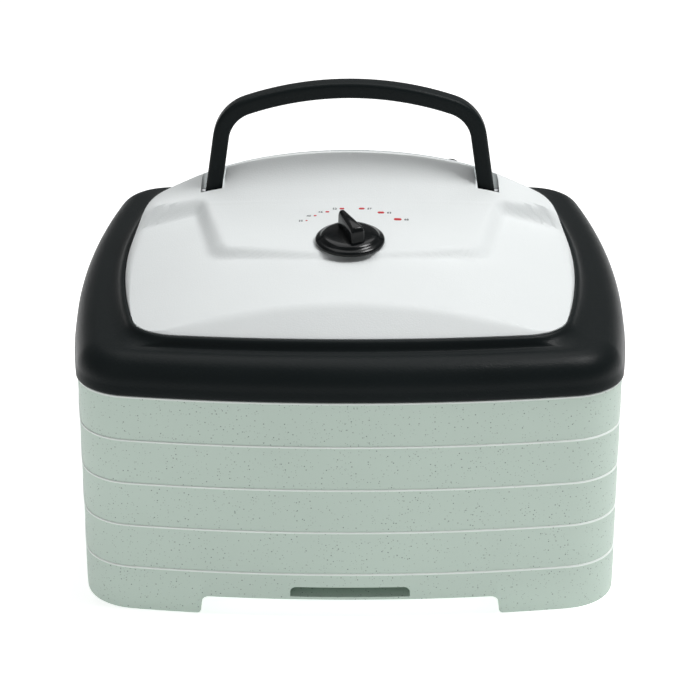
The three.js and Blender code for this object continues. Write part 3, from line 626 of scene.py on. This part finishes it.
class MakeTrays(bpy.types.Operator):
    """Four stacking trays, each a bowed square wall round a lattice bed with a collar in its middle"""

    bl_idname = "dehydrator.make_trays"
    bl_label = "Trays"
    bl_options = {"REGISTER", "UNDO"}

    def execute(self, context):
        pitch = sizes().tray_pitch / MM
        first = [self.wall(), self.bed_wall(), self.lattice(), self.collar(), self.ribs()]
        names = ("wall", "bed_wall", "lattice", "collar", "ribs")
        for i, body in enumerate(TRAYS):
            for source, part in zip(first, names):
                piece = copied(source, f"{body}_{part}", (0, 0, BASE_TOP + pitch * i))
                stands_for = [body] if part == "wall" else []
                settle(piece, tray_plastic(), body, stands_for)
        for source in first:
            bpy.data.objects.remove(source)
        return {"FINISHED"}

    def wall(self):
        w = sizes().wall / MM
        p = sizes().tray_pitch / MM
        lip = w + 0.3
        wall = lofted("wall", levels(PLAN, [
            (lip, 0.01), (0.62, 0.01), (0.55, 0.06), (0.55, 0.5), (0.1, p - 4), (0, p - 1.35), (0, p - 0.8),
            (0.08, p - 0.45), (0.3, p - 0.15), (0.7, p), (w - 0.3, p), (w, p - 0.3), (w, 7),
            (lip + 2, 5), (lip + 2, -2.6), (lip + 1.6, -3), (lip + 0.4, -3), (lip, -2.6),
        ]), ring=True)
        # painted highlight along the wall's top rim
        return bright_lip(wall, p)

    def bed_wall(self):
        return lofted("bed_wall", levels(PLAN, [
            (13, 3.5), (13, 16.4), (13.4, 17), (14.6, 17), (15, 16.4), (15, 3.5),
        ], 24, 8), ring=True)

    def lattice(self):
        cells = sizes().lattice_cells
        bar = sizes().lattice_bar
        fresh()
        bpy.ops.mesh.primitive_grid_add(x_subdivisions=cells, y_subdivisions=cells // 2, size=2)
        piece = named("lattice")
        edge = outline(PLAN, BED_INSET, 24, 8)
        bearings = np.arctan2(edge[:, 1], edge[:, 0])
        order = np.argsort(bearings)
        reach = np.hypot(edge[:, 0], edge[:, 1])[order]
        bearings = bearings[order]
        grid_half, height = 158, 4.8
        for v in piece.data.vertices:
            x, y = v.co.x * grid_half, v.co.y * grid_half
            limit = np.interp(math.atan2(y, x), bearings, reach, period=2 * math.pi)
            far = math.hypot(x, y)
            if far > limit or max(abs(v.co.x), abs(v.co.y)) > 0.999:
                x, y = x * limit / far, y * limit / far
            v.co = Vector((x, y, height)) * MM
        edit_all(piece)
        bpy.ops.mesh.remove_doubles(threshold=1.5 * MM)
        bpy.ops.object.mode_set(mode="OBJECT")
        self.clear_middle(piece)
        return moulded(piece, "WIREFRAME", thickness=bar, use_even_offset=False, use_boundary=True)

    def clear_middle(self, piece):
        """Takes the lattice away inside the collar, and brings its nearest bars up to the collar's wall."""
        edit_all(piece)
        bpy.ops.mesh.select_all(action="DESELECT")
        draft = bmesh.from_edit_mesh(piece.data)
        for v in draft.verts:
            far = v.co.xy.length
            if far < 25 * MM:
                v.select = True
            elif far < 36 * MM:
                v.co.xy *= 32 * MM / far
        draft.select_flush(True)
        bmesh.update_edit_mesh(piece.data)
        bpy.ops.mesh.delete(type="VERT")
        bpy.ops.object.mode_set(mode="OBJECT")

    def collar(self):
        return turned("collar", [
            (31, 3.5), (31, 19.4), (31.4, 20), (32.6, 20), (33, 19.4), (33, 3.5), (31, 3.5),
        ], 64)

    def ribs(self):
        made = []
        low, high, edge = 3.5, 10, 0.4
        for along in (-80, 80):
            for side in (-1, 1):
                near, far = sorted((side * (HALF - BED_INSET), side * (HALF - 5)))
                made.append(block("rib", (near, along - 1, low), (far, along + 1, high), edge))
                made.append(block("rib", (along - 1, near, low), (along + 1, far, high), edge))
        return joined("ribs", made)


class MakeBand(bpy.types.Operator):
    """Black band round the power head: a flared lower rim, a rolled shoulder and a raised bezel"""

    bl_idname = "dehydrator.make_band"
    bl_label = "Band"
    bl_options = {"REGISTER", "UNDO"}

    def execute(self, context):
        radius = sizes().roll_radius / MM
        roll = [(radius * (1 - math.cos(a)), 148.5 + radius * math.sin(a))
                for a in np.radians(np.linspace(0, 88, 14))]
        outer = levels(PLAN, [
            (0.2, 142), (-0.6, 142.1), (-1, 142.6), (-1, 143.4), (-0.75, 145), (-0.2, 147.4), *roll,
        ])
        brim = level(PLAN, 20, 164.9)
        lift = level(COVER_PLAN, -4.2, 168.6)
        blend = [brim + (lift - brim) * np.array([t, t, t * t]) for t in (0, 0.35, 0.7, 0.9)]
        crown = levels(COVER_PLAN, [
            (-4.0, 169.2), (-3.3, 170.3), (-2.2, 170.95), (-1.0, 171.0), (-0.4, 170.5),
            (-0.4, 166.2), (16, 166.2), (16, 163.7),
        ])
        inner = levels(PLAN, [(25, 163.7), (18, 161.4), (8, 156), (3, 148.5), (3, 142.2), (2.6, 142)])
        band = lofted("housing_band_shell", [*outer, *blend, *crown, *inner], ring=True)
        settle(band, black_plastic(), "power_head", ["housing_band"], angle=50)
        return {"FINISHED"}


# ---- the cover's shape, in millimetres ----

EDGE_Z = 171  # where the cover leaves the band
SIDE_SLOPE = 2.56  # rise over run of the sides and the rear
FRONT_SLOPE = 1.03
PANEL_SLOPE = 0.14  # rise over run of the vault and the control panel, towards the rear
CREST_Y = 30
CREASE_SOFT = 1.6  # roundness of the crease at the foot of the swoop
TIER_EDGE = [  # right half, from the side to the middle of the front: x, y, width of the riser there
    (150, 5.4, 4.6), (103, 5.4, 4.6), (99, 5.2, 4.8), (96.4, 3.6, 5.2), (94.8, 0.4, 5.6), (94, -4, 6),
    (84, -50, 8), (82.6, -55.2, 7), (79.6, -59.4, 6), (75.4, -62, 4.6), (70, -63.5, 3.6),
    (52.5, -68.3, 3.3), (35, -72.2, 3.2), (17.5, -74.5, 3.2), (0, -75.2, 3.2),
]


def vault_height(x, y):
    return 187.5 + PANEL_SLOPE * (y + 130) - 0.00113 * x * x


def panel_height(x, y):
    return 198.2 + PANEL_SLOPE * (y + 73.5) - 0.0006 * x * x


def tier_height(x, y):
    """The panel up to the crease, the swoop from there up to the crest, and the fall behind it."""
    crease = -6 + 0.00078 * x * x
    crest = 228.6 - 0.00135 * x * x - 3e-8 * x**4
    t = np.clip((y - crease) / (CREST_Y - crease), 0, 1)
    foot = panel_height(x, crease)
    swoop = foot + (crest - foot) * (0.46 * t + 0.54 * t * t)
    rise = np.where(y >= CREST_Y, crest - 0.3 * (y - CREST_Y), swoop)
    off = np.abs(y - crease)
    fillet = 0.225 * (np.sqrt(off * off + CREASE_SOFT * CREASE_SOFT) - off)
    return np.where(y <= crease, panel_height(x, y), rise) + np.where(off < 12, fillet, 0)


def ramp(u, soft=0.3):
    """Rises from 0 to 1 over 0 to 1, with rounded ends."""
    def part(v):
        return np.where(v <= -soft, 0, np.where(v >= soft, v, (v + soft) ** 2 / (4 * soft)))
    return part(u) - part(u - 1)


def tier_share(x, y):
    """0 outside the tier, 1 on it, rising over the width of the riser at the nearest part of its edge."""
    edge = np.array(TIER_EDGE)
    px, py = np.abs(x), y
    best = np.full(x.shape, np.inf)
    side = np.zeros(x.shape)
    width = np.ones(x.shape)
    for (ax, ay, aw), (bx, by, bw) in zip(edge, edge[1:]):
        dx, dy = bx - ax, by - ay
        span = dx * dx + dy * dy
        t = np.clip(((px - ax) * dx + (py - ay) * dy) / span, 0, 1)
        ox, oy = px - ax - t * dx, py - ay - t * dy
        far = np.hypot(ox, oy)
        inside = np.where(dx * (py - ay) - dy * (px - ax) < 0, 1, -1)
        nearer = far < best - 1e-9
        side = np.where(nearer, inside * far, side)
        width = np.where(nearer, aw + t * (bw - aw), width)
        best = np.where(nearer, far, best)
    return ramp(side / width + 0.5)


def top_height(x, y):
    share = tier_share(x, y)
    return vault_height(x, y) * (1 - share) + tier_height(x, y) * share


def cover_side(rise, side_steps, corner_steps, inset=0.0):
    """The cover's outline at a height above its lower edge; the front leans back further.

    The share is how much of the front's lean each point takes: none behind the middle, all at the front.
    """
    flat = outline(COVER_PLAN, inset + rise / SIDE_SLOPE, side_steps, corner_steps)
    middle, front = 20, -146 + inset
    share = np.clip((middle - flat[:, 1]) / (middle - front - rise / SIDE_SLOPE), 0, 1)
    flat[:, 1] += share * rise * (1 / FRONT_SLOPE - 1 / SIDE_SLOPE)
    return flat, share


def cover_rows(side_steps, corner_steps, across, inset=0.0, drop=0.0, bottom=166.5, edge=(8.5, 3.2)):
    """Rows of points from the cover's lower edge, up its side, over the rounded shoulder to the crest.

    The edge gives the shoulder's roundness at the sides and at the front.
    """
    highest = 64
    rises = np.arange(0, highest + 2, 1.0)
    stack = np.array([cover_side(r, side_steps, corner_steps, inset)[0] for r in rises])
    share = cover_side(0, side_steps, corner_steps, inset)[1]
    count = stack.shape[1]
    column = np.arange(count)

    def at(rise):
        k = np.clip(rise, 0, rises[-1] - 1e-6)
        i = k.astype(int)
        f = (k - i)[:, None]
        return stack[i, column] * (1 - f) + stack[i + 1, column] * f

    low, high = np.zeros(count), np.full(count, float(highest))
    for _ in range(40):  # halves the span in which the side meets the top
        middle = (low + high) / 2
        flat = at(middle)
        above = EDGE_Z + middle > top_height(flat[:, 0], flat[:, 1]) - drop
        high, low = np.where(above, middle, high), np.where(above, low, middle)
    shoulder = at(low)
    height = EDGE_Z + low
    soft = edge[0] + (edge[1] - edge[0]) * np.clip(share * 1.6 - 0.6, 0, 1)
    soft = np.minimum(soft, low * 0.45)
    centre = np.array([0.0, CREST_Y])
    inward = centre - shoulder
    inward /= np.linalg.norm(inward, axis=1)[:, None]
    rows = [np.c_[at(np.zeros(count)), np.full(count, bottom)]]
    for t in np.linspace(0, 1, 8):
        rise = (low - soft) * t
        rows.append(np.c_[at(rise), EDGE_Z + rise])
    start = rows[-1]
    flat = shoulder + inward * soft[:, None]
    end = np.c_[flat, top_height(flat[:, 0], flat[:, 1]) - drop]
    corner = np.c_[shoulder, height]
    for t in np.linspace(0, 1, 8)[1:]:
        rows.append(start * (1 - t) ** 2 + corner * (2 * t * (1 - t)) + end * t * t)
    for t in np.linspace(0, 1, across + 1)[1:]:
        flat = end[:, :2] * (1 - t) + centre * t
        rows.append(np.c_[flat, top_height(flat[:, 0], flat[:, 1]) - drop])
    return rows


# ---- the handle's shape, in millimetres ----

HANDLE_Y, HANDLE_Z = 24, 203  # its pivots
HANDLE_HALF = 88.7  # half the span between its pivots
HANDLE_RISE = 70.2  # from its pivots to the top of its middle line
BAR_BOW = 206
BEND_RADIUS = 25.5


def handle_line(bar_steps=24, bend_steps=14):
    """Middle line of the handle above its pivots, left to right, as an array of (x, up)."""
    bend, lean = math.radians(18.6), math.radians(82.1)
    a = np.linspace(0, bend, bar_steps // 2 + 1)
    bar = np.c_[BAR_BOW * np.sin(a), HANDLE_RISE - BAR_BOW * (1 - np.cos(a))]
    turn = bar[-1] - BEND_RADIUS * np.array([math.sin(bend), math.cos(bend)])
    a = np.linspace(bend, lean, bend_steps + 1)[1:]
    corner = turn + BEND_RADIUS * np.c_[np.sin(a), np.cos(a)]
    foot = np.array([HANDLE_HALF, 0.0])
    leg = corner[-1] + (foot - corner[-1]) * np.linspace(0, 1, 7)[1:, None]
    right = np.concatenate([bar, corner, leg])
    return np.concatenate([(right[1:] * (-1, 1))[::-1], right])


def across_line(line):
    """Unit vectors square to the line at each of its points."""
    step = np.gradient(line, axis=0)
    step /= np.linalg.norm(step, axis=1)[:, None]
    return np.c_[-step[:, 1], step[:, 0]]


SLOT_PAIRS, SLOT_PITCH = 5, 9  # air intake slots in the cover's rear
WELL_ROOM = 2.4  # between the folded handle and its well
WELL_FLOOR = 194.8
NOTCH_RADIUS, NOTCH_Z = 16, 214


class MakeCover(bpy.types.Operator):
    """Off-white cover: facet front, control panel tier, swept-up crest, and a well for the folded handle"""

    bl_idname = "dehydrator.make_cover"
    bl_label = "Cover"
    bl_options = {"REGISTER", "UNDO"}

    def execute(self, context):
        wall = sizes().cover_wall / MM
        cover = lofted("top_cover_shell", cover_rows(104, 16, 84))
        hollow = cover_rows(24, 6, 40, inset=wall, drop=wall + 0.3, bottom=164, edge=(6, 3))
        inside = lofted("inside", hollow)
        cut(inside, self.well(2.2), self.notch(2.2))
        slots = []
        for x in (SLOT_PITCH * i for i in range(-SLOT_PAIRS, SLOT_PAIRS + 1) if i):
            slots.append(block("slot", (x - 1.8, 120, 176), (x + 1.8, 160, 190), 1.2, 3))
        bores = [
            self.bore(5.5, 30, (0, -60, 200.1), math.atan(PANEL_SLOPE)),  # for the thermostat's bushing
            self.bore(6, 24, (70, 136.2, 182), -math.atan(SIDE_SLOPE)),  # for the inlet gland
        ]
        cut(cover, inside, self.well(0), self.notch(0), joined("slots", slots + bores))
        settle(cover, cover_plastic(), "power_head", ["top_cover"], angle=40)
        return {"FINISHED"}

    def well(self, grow):
        """Cutter in the shape of the folded handle, with room round it, straight down from above."""
        line = handle_line()
        half = sizes().handle_thick / MM / 2 + WELL_ROOM + grow
        side = across_line(line) * half
        tail = sizes().handle_depth / MM / 2 + WELL_ROOM + grow
        outer, inner = line + side, (line - side)[::-1]
        right = [(HANDLE_HALF + half, -tail), (HANDLE_HALF - half, -tail)]
        left = [(half - HANDLE_HALF, -tail), (-HANDLE_HALF - half, -tail)]
        flat = np.concatenate([outer, right, inner, left]) + (0, HANDLE_Y)
        rows = [np.c_[flat, np.full(len(flat), z)] for z in (WELL_FLOOR - grow, 250)]
        return lofted("well", rows)

    def notch(self, grow):
        """Cutter for the finger notch, a round bar lying front to back across the well."""
        r, half = NOTCH_RADIUS + grow, 13 + grow
        rounded = turned("notch", [(0, -half), (r, -half), (r, half), (0, half)], 48)
        turn = Matrix.Rotation(math.radians(90), 4, "X")
        place = Matrix.Translation(Vector((0, HANDLE_Y + HANDLE_RISE, NOTCH_Z)) * MM)
        rounded.data.transform(place @ turn)
        return close_up(rounded)

    def bore(self, radius, depth, centre, tilt):
        half = depth / 2
        drill = turned("bore", [(0, -half), (radius, -half), (radius, half), (0, half)], 32)
        drill.data.transform(Matrix.Translation(Vector(centre) * MM) @ Matrix.Rotation(tilt, 4, "X"))
        return close_up(drill)


class MakeHandle(bpy.types.Operator):
    """Arched carry handle on two pivots, with a rounded rectangular section"""

    bl_idname = "dehydrator.make_handle"
    bl_label = "Carry handle"
    bl_options = {"REGISTER", "UNDO"}

    def execute(self, context):
        thick, deep = sizes().handle_thick / MM / 2, sizes().handle_depth / MM / 2
        line = handle_line()
        side = across_line(line)
        left, right = (self.eye(line[end], side[end], thick, deep) for end in (0, -1))
        legs = [self.section(p, n, thick, deep) for p, n in zip(line, side)]
        handle = lofted("carry_handle_bar", left[::-1] + legs + right)
        bores = []
        for x in (-HANDLE_HALF, HANDLE_HALF):
            drill = turned("bore", [(0, -12), (3.3, -12), (3.3, 12), (0, 12)], 24)
            place = Matrix.Translation(Vector((x, HANDLE_Y, HANDLE_Z)) * MM)
            drill.data.transform(place @ Matrix.Rotation(math.radians(90), 4, "Y"))
            bores.append(close_up(drill))
        cut(handle, *bores)
        settle(handle, black_plastic(), "carry_handle", ["carry_handle"], angle=35)
        return {"FINISHED"}

    def eye(self, foot, side, thick, deep):
        """Sections of the rounded end below a pivot, from the pivot down."""
        made = []
        for a in np.radians([15, 30, 45, 60, 72, 82]):
            centre = foot - (0, deep * math.sin(a))
            made.append(self.section(centre, side, thick - (1 - math.cos(a)) * 0.9, deep * math.cos(a)))
        return made

    def section(self, centre, side, thick, deep):
        """Rounded rectangle square to the handle's line."""
        r = min(2.8, deep * 0.9, thick * 0.9)
        flat = []
        for cx, cy, start in ((1, 1, 0), (-1, 1, 90), (-1, -1, 180), (1, -1, 270)):
            middle = (cx * (thick - r), cy * (deep - r))
            flat += arc(middle, r, start, start + 90, 5)
        return [
            (centre[0] + side[0] * u, HANDLE_Y + v, HANDLE_Z + centre[1] + side[1] * u) for u, v in flat
        ]


PANEL_TILT = math.atan(PANEL_SLOPE)
PANEL_SEAT = Matrix.Translation(Vector((0, -60, 200.09)) * MM) @ Matrix.Rotation(PANEL_TILT, 4, "X")
POINTER = 22  # degrees left of twelve o'clock


class MakeKnob(bpy.types.Operator):
    """Thermostat knob: a dished skirt with a tapered finger bar"""

    bl_idname = "dehydrator.make_knob"
    bl_label = "Thermostat knob"
    bl_options = {"REGISTER", "UNDO"}

    def execute(self, context):
        r = sizes().knob_radius / MM
        skirt = turned("thermostat_knob_skirt", [
            (3.4, 4.4), (3.4, 6.0), (13.6, 6.0), (15.8, 5.75), (17.2, 5.2), (18.0, 4.5), (18.5, 3.9),
            (19.6, 3.5), (20.7, 3.0), (r - 0.2, 2.5), (r, 2.0), (r, 0.9), (r - 0.3, 0.6), (r - 0.9, 0.6),
            (18.6, 0.8), (18.4, 3.0), (5.2, 3.0), (5.0, 2.6), (3.4, 2.6), (3.4, 4.4),
        ], 96)
        skirt.data.transform(PANEL_SEAT)
        settle(skirt, gloss_plastic(), "thermostat_knob", ["thermostat_knob"], angle=40)
        settle(self.finger_bar(), gloss_plastic(), "thermostat_knob", angle=45)
        return {"FINISHED"}

    def finger_bar(self):
        """The bar one grips, rounded over towards its top."""
        rows = []
        steps = ((5.6, 0.0, 0.0), (12.4, 0.25, 0.4), (14.2, 0.6, 0.9), (15.3, 1.2, 1.7), (15.9, 2.0, 2.8))
        for z, shrink, back in steps:
            rows.append([(x, y, z) for x, y in self.bar_plan(shrink, back)])
        bar = lofted("thermostat_knob_bar", rows)
        bar.data.transform(PANEL_SEAT @ Matrix.Rotation(math.radians(POINTER), 4, "Z"))
        return bar

    def bar_plan(self, shrink, back):
        """The bar seen from above: a narrow round tip behind, and a broad tail with rounded corners."""
        tail, tip, corner = 4.6 - shrink, max(2.6 - shrink, 0.5), 1.6
        plan = arc((0, 15.5 - back - tip), tip, 0, 180, 10)
        plan += arc((-tail + corner, -14 + back + corner), corner, 180, 270, 5)
        plan += arc((tail - corner, -14 + back + corner), corner, 270, 360, 5)
        return plan


class MakeDialMarks(bpy.types.Operator):
    """Red temperature marks behind the knob, growing from a dot to a wide pill, with small numbers"""

    bl_idname = "dehydrator.make_dial_marks"
    bl_label = "Dial marks"
    bl_options = {"REGISTER", "UNDO"}

    places = (
        (-27.2, -31.5), (-21.9, -25.2), (-14.3, -20.4), (-5.1, -16.3),
        (7.4, -16.2), (19.5, -21.1), (29.9, -29.6),
    )
    numbers = (35, 40, 46, 52, 57, 63, 68)

    def execute(self, context):
        marks, digits = [], []
        for i, (x, y) in enumerate(self.places):
            half, r = 0.05 + 0.17 * i, 0.55 + 0.14 * i
            plan = arc((half, 0), r, -90, 90, 8) + arc((-half, 0), r, 90, 270, 8)
            rows = [[(x + u, y + v, z) for u, v in plan] for z in (-0.5, 0.14)]
            marks.append(lofted("mark", rows))
            side = -1 if x < 0 else 1
            digits.append(self.number(str(self.numbers[i]), x + side * (half + r + 1.6), y - 1, side))
        dial = joined("dial_marks", marks)
        self.lay_on_panel(dial)
        settle(dial, plastic("Red dial ink", tones().mark[:], 0.45, depth=0.02), "power_head")
        scale = joined("dial_numbers", digits)
        self.lay_on_panel(scale)
        settle(scale, plastic("Dark dial ink", tones().ink[:], 0.45, depth=0.02), "power_head")
        return {"FINISHED"}

    def number(self, text, x, y, side):
        """A printed number that ends at x on the left of the knob, and starts there on the right."""
        fresh()
        bpy.ops.object.text_add(location=(0, 0, 0))
        curve = bpy.context.object
        curve.data.body = text
        curve.data.size = 2.9 * MM
        curve.data.extrude = 0.06 * MM
        curve.data.align_x = "RIGHT" if side < 0 else "LEFT"
        bpy.ops.object.convert(target="MESH")
        digits = named("digits")
        digits.data.transform(Matrix.Translation(Vector((x, y, 0.07)) * MM))
        return digits

    def lay_on_panel(self, piece):
        """Drops a flat drawing onto the curved panel."""
        for v in piece.data.vertices:
            x, y = v.co.x / MM, v.co.y / MM
            panel = float(top_height(np.array([x]), np.array([y]))[0])
            v.co = Vector((x, y, panel + v.co.z / MM)) * MM


class FinishInnerParts(bpy.types.Operator):
    """Materials for the motor, fan, heater, thermostat, screws and leads inside the power head"""

    bl_idname = "dehydrator.finish_inner_parts"
    bl_label = "Inner parts"
    bl_options = {"REGISTER", "UNDO"}

    def execute(self, context):
        finishes = inner_finishes()
        for row in frame["record"]["subparts"]:
            piece = frame["nodes"][row["node"]]
            if piece.hide_render:
                continue
            piece.material_slots[0].material = finishes[row["material_slot"]]
        return {"FINISHED"}


LIGHTS = (  # name, place, width in metres, power in watts
    ("key_light", (0.75, -0.1, 1.5), 0.5, 14),
    ("fill_light", (-1.2, -1.0, 1.1), 1.4, 2),
    ("top_light", (0, 0.5, 1.8), 1.6, 14),
)
AIM = (0, 0, 0.12)
CAMERA_PLACE, CAMERA_TILT, CAMERA_LENS = (0, -1.3451, 0.6708), 67.09, 114.27


class SetStage(bpy.types.Operator):
    """Pale floor, soft studio light and the camera"""

    bl_idname = "dehydrator.set_stage"
    bl_label = "Stage"
    bl_options = {"REGISTER", "UNDO"}

    def execute(self, context):
        fresh()
        bpy.ops.mesh.primitive_plane_add(size=12, location=(0, 0, 0))
        floor = named("floor")
        white = (1, 1, 1, 1)
        pale = plastic("Pale floor", (0.95, 0.95, 0.95), 0.8, depth=0.0, drift=(0.995, 1.0), specular=0.0)
        shader = pale.node_tree.nodes["Principled BSDF"]
        shader.inputs["Emission Color"].default_value = white
        shader.inputs["Emission Strength"].default_value = 0.6
        floor.data.materials.append(pale)
        for lamp in LIGHTS:
            self.light(*lamp)
        world = bpy.data.worlds.new("studio")
        world.use_nodes = True
        sky = world.node_tree.nodes["Background"]
        sky.inputs["Color"].default_value = white
        sky.inputs["Strength"].default_value = 0.2
        bpy.context.scene.world = world
        bpy.context.scene.view_settings.view_transform = "Standard"
        fresh()
        bpy.ops.object.camera_add(location=CAMERA_PLACE, rotation=(math.radians(CAMERA_TILT), 0, 0))
        camera = bpy.context.object
        camera.name = "camera"
        camera.data.lens = CAMERA_LENS
        camera.data.sensor_width = 36
        bpy.context.scene.camera = camera
        return {"FINISHED"}

    def light(self, name, place, size, power):
        """A square soft light that shines at the middle of the stack."""
        aim = Vector(AIM) - Vector(place)
        turn = aim.to_track_quat("-Z", "Y").to_euler()
        bpy.ops.object.light_add(type="AREA", location=place, rotation=turn)
        lamp = bpy.context.object
        lamp.name = name
        lamp.data.size = size
        lamp.data.energy = power


class DEHYDRATOR_PT_builder(bpy.types.Panel):
    """Lists the pieces and the sizes and colours that they are made with"""

    bl_label = "Dehydrator"
    bl_space_type = "VIEW_3D"
    bl_region_type = "UI"
    bl_category = "Dehydrator"

    def draw(self, context):
        for maker in MAKERS:
            self.layout.operator(maker.bl_idname)
        for group in (context.scene.dehydrator_sizes, context.scene.dehydrator_colours):
            box = self.layout.box()
            for name in group.__annotations__:
                box.prop(group, name)


MAKERS = (
    MakeBase, MakeTrays, MakeBand, MakeCover, MakeHandle, MakeKnob, MakeDialMarks, FinishInnerParts,
    SetStage,
)
CLASSES = (DehydratorSizes, DehydratorColours, *MAKERS, DEHYDRATOR_PT_builder)


def register():
    for part in CLASSES:
        bpy.utils.register_class(part)
    bpy.types.Scene.dehydrator_sizes = PointerProperty(type=DehydratorSizes)
    bpy.types.Scene.dehydrator_colours = PointerProperty(type=DehydratorColours)


def unregister():
    del bpy.types.Scene.dehydrator_colours
    del bpy.types.Scene.dehydrator_sizes
    for part in reversed(CLASSES):
        bpy.utils.unregister_class(part)


def main():
    register()
    for maker in MAKERS:
        family, action = maker.bl_idname.split(".")
        getattr(getattr(bpy.ops, family), action)()


if __name__ == "__main__":
    main()
